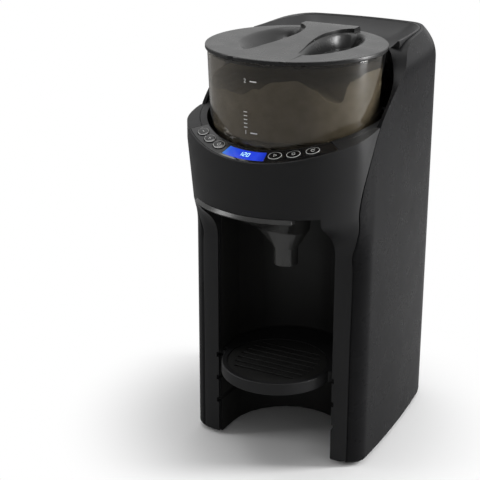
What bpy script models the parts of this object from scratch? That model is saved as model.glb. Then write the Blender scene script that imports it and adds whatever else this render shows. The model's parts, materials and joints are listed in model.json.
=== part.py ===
"""Baby formula maker: a counter-top machine that doses powder and warm water into a bottle.

Origin: under the middle of the machine, on the surface it stands on.
Axes: +Z up, -Y is the front with the control panel, +X is the right side seen from the front.
"""
import math

import bmesh
import bpy
from mathutils import Matrix, Vector

for old_object in list(bpy.data.objects):
    bpy.data.objects.remove(old_object, do_unlink=True)

MM = 0.001

# Bottle space and powder container: the rest of the machine takes its widths and heights from them
ALCOVE_TOP = 232.0 * MM
ALCOVE_WALL = 4.0 * MM
JAR_LOW_R = 70.3 * MM
JAR_DRAFT = 2.2 * MM
JAR_FOOT_IN = 0.7 * MM
JAR_RUN = 0.5 * MM
JAR_HIGH = 72.5 * MM
JAR_WALL = 1.8 * MM
JAR_FLOOR = 2.0 * MM
DRIVE_ROOM = 46.5 * MM
DECK_LEDGE = 6.0 * MM
SIDE_MARGIN = 2.5 * MM
JAR_TOP_R = JAR_LOW_R + JAR_DRAFT
JAR_FOOT_R = JAR_LOW_R - JAR_FOOT_IN
POCKET_R = JAR_TOP_R + JAR_RUN
POCKET_FLOOR = ALCOVE_TOP + DRIVE_ROOM
JAR_TOP = POCKET_FLOOR + JAR_HIGH
WELL_R = POCKET_R + DECK_LEDGE

# Body as a whole
SIDE_HALF = WELL_R + SIDE_MARGIN
LEG_WIDE = 27.0 * MM
ALCOVE_HALF = SIDE_HALF - LEG_WIDE
WIDEST_Y = -22.0 * MM
SIDE_ARC = 1050.0 * MM
REAR_Y = 121.5 * MM
REAR_ARC = 300.0 * MM
REAR_CORNER = 32.0 * MM
LEG_FRONT_Y = -67.0 * MM
LEG_CORNER = 28.0 * MM
NOSE_CORNER = 6.0 * MM
BODY_BOTTOM = 1.0 * MM
RIM_OVER_JAR = 2.0 * MM
BODY_TOP = JAR_TOP + RIM_OVER_JAR
BOTTOM_ROLL = 5.0 * MM
ROLL_HIGH = 28.0 * MM
ROLL_START = BODY_TOP - ROLL_HIGH
ROLL_IN = 10.5 * MM
ROLL_POWER = 2.2
WALL = 2.6 * MM
CLEAR = 0.3 * MM
OVERRUN = 5.0 * MM
MERGE = 0.01 * MM
SLIVER = 0.001 * MM

# Nose, the round overhang that carries the powder container, and the panel on its crown
BOWL_Y = -32.0 * MM
FASCIA_EDGE = 0.5 * MM
FASCIA_WIDE = 14.5 * MM
FASCIA_IN_R = POCKET_R + FASCIA_EDGE
FASCIA_OUT_R = FASCIA_IN_R + FASCIA_WIDE
NOSE_RIM = 1.5 * MM
NOSE_DRAFT = 4.5 * MM
NOSE_TOP_R = FASCIA_OUT_R + NOSE_RIM
NOSE_LOW_R = NOSE_TOP_R - NOSE_DRAFT
NOSE_SKIRT = 4.0 * MM
NOSE_FADE = 38.0 * MM
NOSE_UNDER_POCKET = 1.5 * MM
NOSE_LOW_Z = ALCOVE_TOP - NOSE_SKIRT
NOSE_START_Z = NOSE_LOW_Z - NOSE_FADE
NOSE_TOP_Z = POCKET_FLOOR - NOSE_UNDER_POCKET
NOSE_FADE_SHARE = 0.6
CROWN_R = 250.0 * MM
CROWN_Y = -19.0 * MM
CROWN_OVER_POCKET = 20.5 * MM
CROWN_TOP = POCKET_FLOOR + CROWN_OVER_POCKET
CROWN_STEPS = 9
NOSE_WALL = 2.0 * WALL + CLEAR
FRONT_LIMIT_Y = BOWL_Y - NOSE_TOP_R - OVERRUN

# Line that parts the front housing from the rear shell, seen from the side:
# y as a share of REAR_Y, z as a share of BODY_TOP
SPLIT_GAP = 1.2 * MM
SPLIT_TONGUE = 4.0 * MM
SPLIT_SHARES = (
    (-0.535, -0.020), (-0.535, 0.300), (-0.535, 0.530), (-0.556, 0.600), (-0.580, 0.657),
    (-0.564, 0.714), (-0.510, 0.768), (-0.428, 0.819), (-0.313, 0.864), (-0.123, 0.912),
    (0.033, 0.943), (0.140, 0.9745), (0.280, 0.990), (0.494, 0.9955), (1.100, 1.001),
)
SPLIT_STEPS = 2

# Skin sampling: points round half of the plan, and the weight given to corners
SKIN_HALF_POINTS = 22
SKIN_SCAN_STEPS = 360
SKIN_CORNER_WEIGHT = 1.1
ROLL_SHARES = (0.0, 0.36, 0.64, 0.86, 1.0)
BOTTOM_SHARES = (0.0, 0.4, 1.0)
NOSE_SHARES = (0.0, 0.25, 0.5, 0.75, 1.0)

# Container well, deck and control panel
WELL_SIDES = 40
WING_START_Y = -50.0 * MM
NOSE_FLOOR = 3.0 * MM
DECK_FLOOR = 3.0 * MM
DECK_SKIRT = 10.5 * MM
DECK_SKIRT_BOTTOM = POCKET_FLOOR - DECK_SKIRT
WELL_UNDER_SKIRT = 6.0 * MM
WELL_BOTTOM = DECK_SKIRT_BOTTOM - WELL_UNDER_SKIRT
FASCIA_HALF_ANGLE = math.radians(48.0)
FASCIA_THICK = 2.0 * MM
FASCIA_STEPS = 16
PANEL_R = FASCIA_IN_R + FASCIA_WIDE / 2.0
BUTTON_LONG = 11.4 * MM
BUTTON_WIDE = 8.8 * MM
BUTTON_PROUD = 0.9 * MM
BUTTON_DEEP = 3.0 * MM
BUTTON_CLEAR = 0.35 * MM
BUTTON_TRAVEL = 0.8 * MM
BUTTON_SIDES = 14
STEM_R = 2.0 * MM
BUTTON_ANGLES = (-40.6, -31.5, -22.4, 14.7, 24.9, 35.5)
WINDOW_FROM = math.radians(-16.0)
WINDOW_TO = math.radians(9.0)
WINDOW_BACK_EDGE = 2.7 * MM
WINDOW_FRONT_EDGE = 2.2 * MM
WINDOW_IN_R = FASCIA_IN_R + WINDOW_BACK_EDGE
WINDOW_OUT_R = FASCIA_OUT_R - WINDOW_FRONT_EDGE
WINDOW_STEPS = 5
DISPLAY_RIM = 1.4 * MM
DISPLAY_THICK = 4.0 * MM
CONTROL_BOARD_THICK = 1.6 * MM
CONTROL_BOARD_EDGE = 7.8 * MM
CONTROL_BOARD_WIDE = 18.2 * MM
CONTROL_BOARD_OUT_R = FASCIA_OUT_R - CONTROL_BOARD_EDGE
CONTROL_BOARD_IN_R = CONTROL_BOARD_OUT_R - CONTROL_BOARD_WIDE
CONTROL_BOARD_HALF = math.radians(44.0)

# Powder path: the outlet lies in front of the axis that the dosing wheel turns on
OUTLET_R = 9.0 * MM
OUTLET_OFFSET = 40.0 * MM
OUTLET_Y = BOWL_Y - OUTLET_OFFSET
DRIVE_HOLE_R = 7.0 * MM
CHUTE_WALL = 1.8 * MM
CHUTE_FLANGE_R = 14.0 * MM
CHUTE_FLANGE = 2.0 * MM
CHUTE_BOTTOM = ALCOVE_TOP + CLEAR

# Powder container, its lid and what turns inside it
JAR_FOOT_HIGH = 16.5 * MM
JAR_LOW_Z = POCKET_FLOOR + JAR_FOOT_HIGH
LID_OVERHANG = 1.8 * MM
LID_R = JAR_TOP_R + LID_OVERHANG
LID_THICK = 3.5 * MM
LID_SKIRT = 3.0 * MM
GRIP_HALF = 17.3 * MM
GRIP_EDGE = 3.0 * MM
GRIP_STEPS = 8
GRIP_RISE = 3.5 * MM
GRIP_BACK_IN = 4.3 * MM
SCOOP_END_IN = 19.5 * MM
SCOOP_SIDE_IN = 22.2 * MM
SCOOP_LONG = JAR_TOP_R - SCOOP_END_IN
SCOOP_OUT = JAR_TOP_R - SCOOP_SIDE_IN - GRIP_HALF
SCOOP_DEEP = 11.5 * MM
SCOOP_Y = -29.0 * MM
SCOOP_WALL = 2.0 * MM
SCOOP_RINGS = 4
SCOOP_STEPS = 10
SCOOP_CUT_SHARE = 0.93
WHEEL_THICK = 6.0 * MM
WHEEL_POCKETS = 6
WHEEL_POCKET_R = 9.5 * MM
WHEEL_RUN = 0.4 * MM
WHEEL_EDGE = 1.4 * MM
COVER_THICK = 1.6 * MM
COVER_R = JAR_FOOT_R - JAR_WALL - WHEEL_RUN
COVER_WINDOW_FROM = math.radians(70.0)
COVER_WINDOW_TO = math.radians(290.0)
WHEEL_R = COVER_R - WHEEL_EDGE
HUB_R = 6.0 * MM
STIRRER_HIGH = 14.0 * MM
STIRRER_EDGE = 6.0 * MM
STIRRER_REACH = WHEEL_R - STIRRER_EDGE
STIRRER_ROD_R = 1.6 * MM
STIRRER_TAPER_SHARE = 0.6
STIRRER_BEND_SHARE = 0.85
DOG_HALF = 4.0 * MM
DOG_DEEP = 3.0 * MM

# Drive under the deck: pinion and gear with whole teeth, one module
GEAR_MODULE = 1.875 * MM
GEAR_TEETH = 24
PINION_TEETH = 8
BRACKET_UNDER_POCKET = 17.0 * MM
BRACKET_TOP = POCKET_FLOOR - BRACKET_UNDER_POCKET
GEAR_OVER_BRACKET = 1.5 * MM
GEAR_LOW = BRACKET_TOP + GEAR_OVER_BRACKET
GEAR_THICK = 4.5 * MM
TOOTH_TOP_SHARE = 0.85
TOOTH_ROOT_SHARE = 1.15
TOOTH_TIP_SHARE = 0.12
TOOTH_BASE_SHARE = 0.30
SHAFT_R = 4.5 * MM
SHAFT_RUN = 0.06 * MM
SHAFT_UNDER_BRACKET = 7.5 * MM
SHAFT_BOTTOM = BRACKET_TOP - SHAFT_UNDER_BRACKET
BRACKET_THICK = 2.5 * MM
BRACKET_HALF = 30.0 * MM
BRACKET_FRONT_Y = -52.0 * MM
BRACKET_BACK_Y = 16.0 * MM
POST_R = 4.0 * MM
MOTOR_R = 13.5 * MM
MOTOR_HIGH = 20.0 * MM
MOTOR_SHAFT_R = 1.5 * MM
PINION_HUB_DEEP = 6.0 * MM

# Tank opening and the top rim
RIM_IN = 12.6 * MM
BOARD_OFF_LINER = 7.5 * MM
BOARD_OFF_TANK = 4.4 * MM
TANK_STEP = 10.0 * MM
BOARD_THICK = 1.6 * MM
ALCOVE_Y = -40.0 * MM
BOARD_Y = ALCOVE_Y + ALCOVE_HALF + ALCOVE_WALL + BOARD_OFF_LINER
TANK_FRONT_Y = BOARD_Y + BOARD_THICK + BOARD_OFF_TANK
TANK_OPEN_Y = TANK_FRONT_Y - TANK_STEP
TANK_UNDER_RIM = 19.0 * MM
TANK_OPEN_Z = BODY_TOP - TANK_UNDER_RIM

# Bottle alcove
ALCOVE_ARCH_R = 24.0 * MM
LINER_FRONT_Y = REAR_Y * SPLIT_SHARES[0][0] + SPLIT_TONGUE + 2.0 * CLEAR
RAIL_DEEP = 2.0 * MM
RAIL_HIGH = 4.6 * MM
RAIL_BACK_Y = -30.0 * MM
STAND_PITCH = 22.0 * MM
STAND_LEVELS = 3

# Funnel drawer under the nose, its rails and its spout
FUNNEL_TOP = ALCOVE_TOP - CLEAR
FUNNEL_FLANGE = 3.4 * MM
FUNNEL_LIP_PROUD = 2.4 * MM
FUNNEL_LIP_R = NOSE_LOW_R + FUNNEL_LIP_PROUD
FUNNEL_SIDE_RUN = 0.5 * MM
FUNNEL_RIGHT_IN = 18.2 * MM
FUNNEL_TIP_OUT = 5.5 * MM
FUNNEL_LIP_LEFT = FUNNEL_SIDE_RUN - ALCOVE_HALF
FUNNEL_LIP_RIGHT = ALCOVE_HALF - FUNNEL_RIGHT_IN
FUNNEL_TIP_LEFT = -ALCOVE_HALF - FUNNEL_TIP_OUT
FUNNEL_TIP_WIDE = 1.4 * MM
FUNNEL_WALL = 1.8 * MM
FUNNEL_STRIP_IN = 24.5 * MM
FUNNEL_STRIP_HALF = ALCOVE_HALF - FUNNEL_STRIP_IN
HOPPER_EDGE = 3.0 * MM
HOPPER_LEFT_EDGE = 4.0 * MM
HOPPER_RIGHT_EDGE = 2.3 * MM
HOPPER_R = FUNNEL_LIP_R - HOPPER_EDGE
HOPPER_LEFT = FUNNEL_LIP_LEFT + HOPPER_LEFT_EDGE
HOPPER_RIGHT = FUNNEL_LIP_RIGHT - HOPPER_RIGHT_EDGE
HOPPER_STRIP_EDGE = 4.5 * MM
HOPPER_TAPER = 5.5 * MM
HOPPER_WAIST = FUNNEL_STRIP_HALF - HOPPER_STRIP_EDGE
HOPPER_WAIST_Y = -60.0 * MM
HOPPER_BACK_Y = -30.0 * MM
HOPPER_BACK = HOPPER_WAIST - HOPPER_TAPER
HOPPER_SLOPE_HIGH = 30.7 * MM
HOPPER_BREAK_Z = FUNNEL_TOP - HOPPER_SLOPE_HIGH
BREAK_LEFT_OUT = 0.5 * MM
BREAK_RIGHT_IN = 4.5 * MM
BREAK_LEFT = -HOPPER_WAIST - BREAK_LEFT_OUT
BREAK_RIGHT = HOPPER_WAIST - BREAK_RIGHT_IN
BREAK_FRONT_Y = -64.0 * MM
BREAK_BACK_Y = -35.0 * MM
SPOUT_X = 1.0 * MM
SPOUT_Y = -49.0 * MM
SPOUT_R = 10.5 * MM
SPOUT_NECK = 16.0 * MM
SPOUT_LONG = 15.0 * MM
SPOUT_TOP = HOPPER_BREAK_Z - SPOUT_NECK
SPOUT_BOTTOM = SPOUT_TOP - SPOUT_LONG
FUNNEL_SPREAD = math.radians(20.0)
HOPPER_SLANT_SHARE = 1.6
HOPPER_BREAK_POWER = 2.6
FUNNEL_STRIP_BACK_Y = -27.0 * MM
FUNNEL_RAIL_WEB = 2.4 * MM
FUNNEL_RAIL_FOOT = 3.2 * MM
FUNNEL_RAIL_FOOT_HIGH = 2.6 * MM
ARCH_SINK = 1.0 * MM
ARCH_FRONT_Y = LEG_FRONT_Y + ARCH_SINK

# Water nozzle beside the powder path
NOZZLE_X = -12.0 * MM
NOZZLE_Y = -46.0 * MM
NOZZLE_R = 4.0 * MM
NOZZLE_BORE_R = 2.2 * MM

# Bottle stand
STAND_TOP = 84.0 * MM
STAND_SIDE_IN = 6.5 * MM
STAND_R = ALCOVE_HALF - STAND_SIDE_IN
STAND_Y = -61.0 * MM
STAND_BAND = 10.5 * MM
STAND_RIM = 5.0 * MM
STAND_PLATE_R = STAND_R - STAND_RIM
STAND_PLATE_THICK = 2.4 * MM
STAND_PLATE_SINK = 0.6 * MM
STAND_SLOTS = 7
STAND_SLOT_SHARE = 0.8
STAND_SLOT_WIDE = 3.0 * MM
STAND_SLOT_PITCH = 8.5 * MM
STAND_REAR_GAP = 0.8 * MM
STAND_FLOOR = 2.0 * MM

# Power inlet in the rear wall
INLET_X = 40.0 * MM
INLET_Z = 24.0 * MM
INLET_WIDE = 24.0 * MM
INLET_HIGH = 17.0 * MM

# Base and feet
BASE_LOW = 2.6 * MM
BASE_THICK = 2.5 * MM
FOOT_EDGE = 2.0 * MM
FOOT_DRAFT = 0.5 * MM
FOOT_TOP_R = (LEG_WIDE - ALCOVE_WALL - BOTTOM_ROLL - WALL) / 2.0 - FOOT_EDGE
FOOT_R = FOOT_TOP_R - FOOT_DRAFT
FOOT_FRONT_X = (ALCOVE_HALF + ALCOVE_WALL + SIDE_HALF - BOTTOM_ROLL - WALL) / 2.0
FOOT_FRONT_Y = -44.0 * MM
FOOT_SIDE_IN = 25.5 * MM
FOOT_REAR_X = SIDE_HALF - FOOT_SIDE_IN
FOOT_REAR_Y = 96.0 * MM

# Water tank, its bay and its valve
TANK_IN = 13.4 * MM
TANK_OFF_WELL = 4.0 * MM
TANK_WELL_R = WELL_R + TANK_OFF_WELL
TANK_WALL = 2.2 * MM
BAY_LOW = 88.5 * MM
BAY_THICK = 2.5 * MM
NECK_X = 36.0 * MM
NECK_Y = 78.0 * MM
NECK_R = 8.0 * MM
NECK_DEEP = 5.0 * MM
VALVE_STEM_R = 2.1 * MM
VALVE_HEAD_R = 6.5 * MM
VALVE_HEAD_THICK = 2.0 * MM
VALVE_STEM_BELOW = 6.0 * MM
CUP_DEEP = 9.0 * MM
CUP_WALL = 2.2 * MM
CUP_FLOOR = 2.0 * MM
BARB_R = 3.0 * MM
BARB_BORE_R = 1.6 * MM
BARB_LONG = 7.0 * MM
VALVE_PIN_R = 1.0 * MM
PIN_BAR_HALF = 0.7 * MM
PIN_BAR_HIGH = 1.2 * MM
TANK_LID_SINK = 6.5 * MM
TANK_LID_TOP = BODY_TOP - TANK_LID_SINK
DISH_SHARES = ((0.0, 0.60), (0.12, 0.52), (0.42, 0.22), (1.0, 0.0))
DISH_IN = 26.0 * MM
DISH_DEEP = 14.0 * MM
DISH_EDGE = 1.0 * MM
DISH_LOW = BODY_TOP - DISH_DEEP
DISH_HIGH = BODY_TOP - DISH_EDGE

# Pump, heater, board and hoses behind the alcove
PUMP_R = 16.0 * MM
PUMP_HIGH = 30.0 * MM
PUMP_HEAD_HALF = 17.0 * MM
PUMP_HEAD_HIGH = 13.0 * MM
HEATER_SIDE_IN = 19.5 * MM
HEATER_LEFT = HEATER_SIDE_IN - SIDE_HALF
HEATER_RIGHT = -12.0 * MM
HEATER_HALF_Y = 15.0 * MM
HEATER_HIGH = 50.0 * MM
HEATER_FOOT = 7.0 * MM
HEATER_FIN_PITCH = 9.0 * MM
HEATER_FIN_WIDE = 3.0 * MM
HEATER_FIN_DEEP = 4.0 * MM
HOSE_R = 3.0 * MM
HOSE_STEPS = 3
BOARD_HALF = 36.0 * MM
BOARD_LOW = 104.0 * MM
BOARD_TOP = 206.0 * MM
BOARD_POST_EDGE = 6.0 * MM
BOARD_POST_X = BOARD_HALF - BOARD_POST_EDGE
BOARD_POST_IN = 12.0 * MM
BOARD_POST_R = 3.0 * MM
INLET_DEEP = 13.0 * MM
INLET_WALL = 2.4 * MM
INLET_SINK = 0.8 * MM
INLET_PIN_R = 1.2 * MM
INLET_PIN_GAP = 8.6 * MM
INLET_FLOOR = 4.0 * MM

# Way of the hot hose: off the heater, up behind the board's edge, then over the alcove to the nozzle;
# the places of the rise are measured from the front of the board
HOT_START = [(-37.0 * MM, 77.0 * MM, 66.0 * MM), (-38.0 * MM, 66.0 * MM, 76.0 * MM)]
HOT_RISE = [
    (-42.0 * MM, 16.0 * MM, 80.0 * MM),
    (-47.0 * MM, 0.0, 92.0 * MM),
    (-50.0 * MM, -6.0 * MM, 130.0 * MM),
    (-50.0 * MM, -8.0 * MM, 190.0 * MM),
    (-50.0 * MM, -14.0 * MM, 226.0 * MM),
]
HOT_OVER = [
    (-46.0 * MM, -4.0 * MM, 246.0 * MM),
    (-34.0 * MM, -20.0 * MM, 252.0 * MM),
    (-20.0 * MM, -35.0 * MM, 251.5 * MM),
    (-13.0 * MM, -44.0 * MM, 249.0 * MM),
]


def new_collection(name):
    """A collection linked into the scene."""
    group = bpy.data.collections.new(name)
    bpy.context.scene.collection.children.link(group)
    return group


PARTS = new_collection("baby_formula_maker")


def material(name, colour, roughness, metallic=0.0, alpha=1.0):
    """A Principled material with the part's own colour."""
    made = bpy.data.materials.new(name)
    made.use_nodes = True
    shader = made.node_tree.nodes["Principled BSDF"]
    shader.inputs["Base Color"].default_value = (*colour, 1.0)
    shader.inputs["Roughness"].default_value = roughness
    shader.inputs["Metallic"].default_value = metallic
    shader.inputs["Alpha"].default_value = alpha
    made.diffuse_color = (*colour, alpha)
    return made


CHARCOAL = material("charcoal_satin_plastic", (0.022, 0.022, 0.023), 0.42)
GRAPHITE = material("graphite_satin_plastic", (0.042, 0.042, 0.043), 0.45)
LINER_BLACK = material("black_matte_plastic", (0.008, 0.008, 0.008), 0.6)
GLOSS_BLACK = material("black_gloss_plastic", (0.006, 0.006, 0.008), 0.08)
DISPLAY_BLUE = material("display_window_blue", (0.05, 0.16, 0.75), 0.15)
LID_GREY = material("grey_satin_plastic", (0.19, 0.19, 0.19), 0.38)
SMOKE_CLEAR = material("smoke_clear_plastic", (0.20, 0.21, 0.21), 0.08, alpha=0.35)
WATER_CLEAR = material("water_tank_plastic", (0.45, 0.50, 0.52), 0.10, alpha=0.35)
MOVING_WHITE = material("white_nylon", (0.62, 0.61, 0.58), 0.5)
SEAL_GREY = material("silicone_seal", (0.35, 0.35, 0.34), 0.7)
FOOT_RUBBER = material("foot_rubber", (0.015, 0.015, 0.015), 0.85)
STEEL = material("plain_steel", (0.42, 0.42, 0.43), 0.3, metallic=1.0)
ALUMINIUM = material("cast_aluminium", (0.55, 0.55, 0.56), 0.4, metallic=1.0)
BOARD_GREEN = material("circuit_board", (0.02, 0.12, 0.05), 0.5)
HOSE_CLEAR = material("silicone_hose", (0.55, 0.54, 0.50), 0.5)


def ease(share):
    """Smooth step from 0 to 1."""
    share = min(max(share, 0.0), 1.0)
    return share * share * (3.0 - 2.0 * share)


def soft_min(first, second, reach):
    """The smaller of two distances, with the corner between them rounded."""
    overlap = max(reach - abs(first - second), 0.0) / reach
    return min(first, second) - overlap * overlap * reach / 4.0


def ray_to_circle(ux, uy, cx, cy, radius):
    """Distance from the origin to the far side of a circle, along a unit direction."""
    along = ux * cx + uy * cy
    return along + math.sqrt(along * along - cx * cx - cy * cy + radius * radius)


def crown_z(y, drop=0.0):
    """Height of the crowned deck at a place, lowered by a drop."""
    radius = CROWN_R - drop
    return CROWN_TOP - CROWN_R + math.sqrt(radius * radius - (y - CROWN_Y) ** 2)


def nose_radius(z):
    """Radius of the nose about the container's axis at a height."""
    share = min(max((z - NOSE_LOW_Z) / (NOSE_TOP_Z - NOSE_LOW_Z), 0.0), 1.0)
    return NOSE_LOW_R + (NOSE_TOP_R - NOSE_LOW_R) * share


def plan_radius(angle, z, inset):
    """Distance from the origin to the body's skin in one direction, drawn in by an inset."""
    ux = math.cos(angle)
    uy = math.sin(angle)
    side = ray_to_circle(abs(ux), uy, SIDE_HALF - SIDE_ARC, WIDEST_Y, SIDE_ARC - inset)
    if uy > 0.0:
        rear = ray_to_circle(ux, uy, 0.0, REAR_Y - REAR_ARC, REAR_ARC - inset)
        return soft_min(side, rear, REAR_CORNER)
    if uy == 0.0:
        return side
    nose_share = ease((z - NOSE_START_Z) / (NOSE_LOW_Z - NOSE_START_Z))
    flat = (LEG_FRONT_Y + inset) / uy
    nose = ray_to_circle(ux, uy, 0.0, BOWL_Y, nose_radius(z) - inset)
    fade = ease(-uy / NOSE_FADE_SHARE)
    front = 1.0 / ((1.0 - nose_share) / flat + nose_share * fade / nose)
    reach = LEG_CORNER + (NOSE_CORNER - LEG_CORNER) * nose_share
    return soft_min(side, front, reach)


def skin_angles():
    """Directions round the right half of the plan, closer together at the corners."""
    quarter = math.pi / 2.0
    scan = [-quarter + math.pi * step / SKIN_SCAN_STEPS for step in range(SKIN_SCAN_STEPS + 1)]
    spots = []
    for angle in scan:
        low = plan_radius(angle, NOSE_START_Z, 0.0)
        high = plan_radius(angle, NOSE_TOP_Z, 0.0)
        mean = (low + high) / 2.0
        spots.append(Vector((mean * math.cos(angle), mean * math.sin(angle))))
    weights = [0.0]
    for index in range(1, len(scan)):
        run = (spots[index] - spots[index - 1]).length / (SIDE_HALF + REAR_Y)
        turn = 0.0
        if index + 1 < len(scan):
            before = spots[index] - spots[index - 1]
            after = spots[index + 1] - spots[index]
            turn = before.angle(after, 0.0) / quarter
        weights.append(weights[-1] + run + SKIN_CORNER_WEIGHT * turn)
    chosen = []
    index = 0
    for step in range(SKIN_HALF_POINTS + 1):
        wanted = weights[-1] * step / SKIN_HALF_POINTS
        while index + 1 < len(weights) - 1 and weights[index + 1] < wanted:
            index += 1
        span = weights[index + 1] - weights[index]
        share = min(max((wanted - weights[index]) / span, 0.0), 1.0)
        chosen.append(scan[index] + (scan[index + 1] - scan[index]) * share)
    chosen[0] = -quarter
    chosen[-1] = quarter
    return chosen


HALF_ANGLES = skin_angles()


def skin_ring(z, inset, place_z=None):
    """One closed outline of the skin, anticlockwise from above; inner outlines have fewer points."""
    right = []
    for angle in HALF_ANGLES[::2] if inset > WALL / 2.0 + roll_inset(z) else HALF_ANGLES:
        radius = plan_radius(angle, z, inset)
        right.append((radius * math.cos(angle), radius * math.sin(angle)))
    left = [(-x, y) for x, y in reversed(right[1:-1])]
    level = z if place_z is None else place_z
    return [Vector((x, y, level)) for x, y in right + left]


def roll_inset(z):
    """How far the skin is drawn in by the rounded bottom and top edges."""
    if z < BODY_BOTTOM + BOTTOM_ROLL:
        share = max((z - BODY_BOTTOM) / BOTTOM_ROLL, 0.0)
        return BOTTOM_ROLL * (1.0 - share) ** 2
    if z > ROLL_START:
        share = min((z - ROLL_START) / (BODY_TOP - ROLL_START), 1.0)
        return ROLL_IN * share ** ROLL_POWER
    return 0.0


def skin_levels(step):
    """Heights of the skin's sections; a step of 2 leaves out every second one."""
    levels = [BODY_BOTTOM + BOTTOM_ROLL * share for share in BOTTOM_SHARES[::step]]
    levels += [NOSE_START_Z + (NOSE_LOW_Z - NOSE_START_Z) * share for share in NOSE_SHARES[::step]]
    levels += [NOSE_TOP_Z]
    levels += [ROLL_START + (BODY_TOP - ROLL_START) * share for share in ROLL_SHARES[::step]]
    return levels


def mesh_object(name, mesh):
    """An object in the parts collection."""
    made = bpy.data.objects.new(name, mesh)
    PARTS.objects.link(made)
    return made


def loft(name, rings):
    """A closed solid through rings of equal point counts, bottom ring first."""
    shape = bmesh.new()
    rows = [[shape.verts.new(point) for point in ring] for ring in rings]
    count = len(rows[0])
    for lower, upper in zip(rows, rows[1:]):
        for index in range(count):
            after = (index + 1) % count
            shape.faces.new((lower[index], lower[after], upper[after]))
            shape.faces.new((lower[index], upper[after], upper[index]))
    shape.faces.new(list(reversed(rows[0])))
    shape.faces.new(rows[-1])
    bmesh.ops.recalc_face_normals(shape, faces=shape.faces)
    mesh = bpy.data.meshes.new(name)
    shape.to_mesh(mesh)
    shape.free()
    return mesh_object(name, mesh)


def skin_solid(name, inset, low=None, high=None):
    """The body's outer form drawn in by an inset, between two heights."""
    low = BODY_BOTTOM if low is None else low
    high = BODY_TOP if high is None else high
    step = 2 if inset > 0.0 else 1
    inner = [z for z in skin_levels(step) if low < z < high]
    rings = []
    for z in [low] + inner + [high]:
        rings.append(skin_ring(min(max(z, BODY_BOTTOM), BODY_TOP), inset + roll_inset(z), z))
    return loft(name, rings)


def bake(obj):
    """Put an object's evaluated mesh in place of its modifiers."""
    graph = bpy.context.evaluated_depsgraph_get()
    mesh = bpy.data.meshes.new_from_object(obj.evaluated_get(graph))
    obj.modifiers.clear()
    obj.data = mesh
    return obj


def combine(obj, other, operation):
    """Boolean of two solids; the second one is used up."""
    change = obj.modifiers.new(operation.lower(), "BOOLEAN")
    change.operation = operation
    change.object = other
    bake(obj)
    bpy.data.objects.remove(other, do_unlink=True)
    return obj


def cut(obj, other):
    """Take one solid out of another."""
    return combine(obj, other, "DIFFERENCE")


def join(obj, other):
    """Fuse one solid to another."""
    return combine(obj, other, "UNION")


def common(obj, other):
    """Keep what two solids share."""
    return combine(obj, other, "INTERSECT")


def box(name, low, high):
    """A block between two corners."""
    shape = bmesh.new()
    bmesh.ops.create_cube(shape, size=1.0)
    low = Vector(low)
    high = Vector(high)
    size = high - low
    bmesh.ops.transform(shape, matrix=Matrix.Diagonal((*size, 1.0)), verts=shape.verts)
    bmesh.ops.translate(shape, vec=(low + high) / 2.0, verts=shape.verts)
    mesh = bpy.data.meshes.new(name)
    shape.to_mesh(mesh)
    shape.free()
    return mesh_object(name, mesh)


def rod(name, centre, radius, low, high, sides=40, top_radius=None):
    """An upright cylinder or cone between two heights."""
    shape = bmesh.new()
    upper = radius if top_radius is None else top_radius
    bmesh.ops.create_cone(
        shape, cap_ends=True, segments=sides, radius1=radius, radius2=upper, depth=high - low)
    middle = Vector((centre[0], centre[1], (low + high) / 2.0))
    bmesh.ops.translate(shape, vec=middle, verts=shape.verts)
    mesh = bpy.data.meshes.new(name)
    shape.to_mesh(mesh)
    shape.free()
    return mesh_object(name, mesh)


def turned(name, profile, centre, steps=40):
    """A profile of (radius, height) turned about an upright axis, outer side top to bottom."""
    points = [Vector((radius, 0.0, z)) for radius, z in profile]
    mesh = bpy.data.meshes.new(name)
    edges = [(index, index + 1) for index in range(len(points) - 1)]
    if profile[0][0] > 0.0 or profile[-1][0] > 0.0:
        edges.append((len(points) - 1, 0))
    mesh.from_pydata(points, edges, [])
    made = mesh_object(name, mesh)
    screw = made.modifiers.new("turn", "SCREW")
    screw.steps = steps
    screw.render_steps = steps
    screw.use_merge_vertices = True
    screw.merge_threshold = MERGE
    screw.use_normal_calculate = True
    bake(made)
    shape = bmesh.new()
    shape.from_mesh(made.data)
    bmesh.ops.recalc_face_normals(shape, faces=shape.faces)
    bmesh.ops.translate(shape, vec=Vector((centre[0], centre[1], 0.0)), verts=shape.verts)
    shape.to_mesh(made.data)
    shape.free()
    return made


def curve_solid(name, curve, turn=None):
    """A curve made mesh, its loose caps welded."""
    source = mesh_object(name + "_curve", curve)
    graph = bpy.context.evaluated_depsgraph_get()
    mesh = bpy.data.meshes.new_from_object(source.evaluated_get(graph))
    shape = bmesh.new()
    shape.from_mesh(mesh)
    bmesh.ops.remove_doubles(shape, verts=shape.verts, dist=MERGE)
    if turn is not None:
        bmesh.ops.transform(shape, matrix=turn, verts=shape.verts)
    bmesh.ops.recalc_face_normals(shape, faces=shape.faces)
    shape.to_mesh(mesh)
    shape.free()
    bpy.data.objects.remove(source, do_unlink=True)
    return mesh_object(name, mesh)


def plate(name, outline, low, high, turn=None):
    """A flat outline with a thickness between two heights, before any turn."""
    curve = bpy.data.curves.new(name, "CURVE")
    curve.dimensions = "2D"
    curve.fill_mode = "BOTH"
    curve.extrude = (high - low) / 2.0
    line = curve.splines.new("POLY")
    line.points.add(len(outline) - 1)
    for point, (x, y) in zip(line.points, outline):
        point.co = (x, y, 0.0, 1.0)
    line.use_cyclic_u = True
    lift = Matrix.Translation((0.0, 0.0, (low + high) / 2.0))
    return curve_solid(name, curve, lift if turn is None else turn @ lift)


# A plate drawn in (y, z) and given its thickness along x
SIDE_TURN = Matrix(((0.0, 0.0, 1.0, 0.0), (1.0, 0.0, 0.0, 0.0), (0.0, 1.0, 0.0, 0.0), (0.0, 0.0, 0.0, 1.0)))
# A plate drawn in (x, z) and given its thickness along -y
FRONT_TURN = Matrix.Rotation(math.pi / 2.0, 4, "X")


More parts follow.
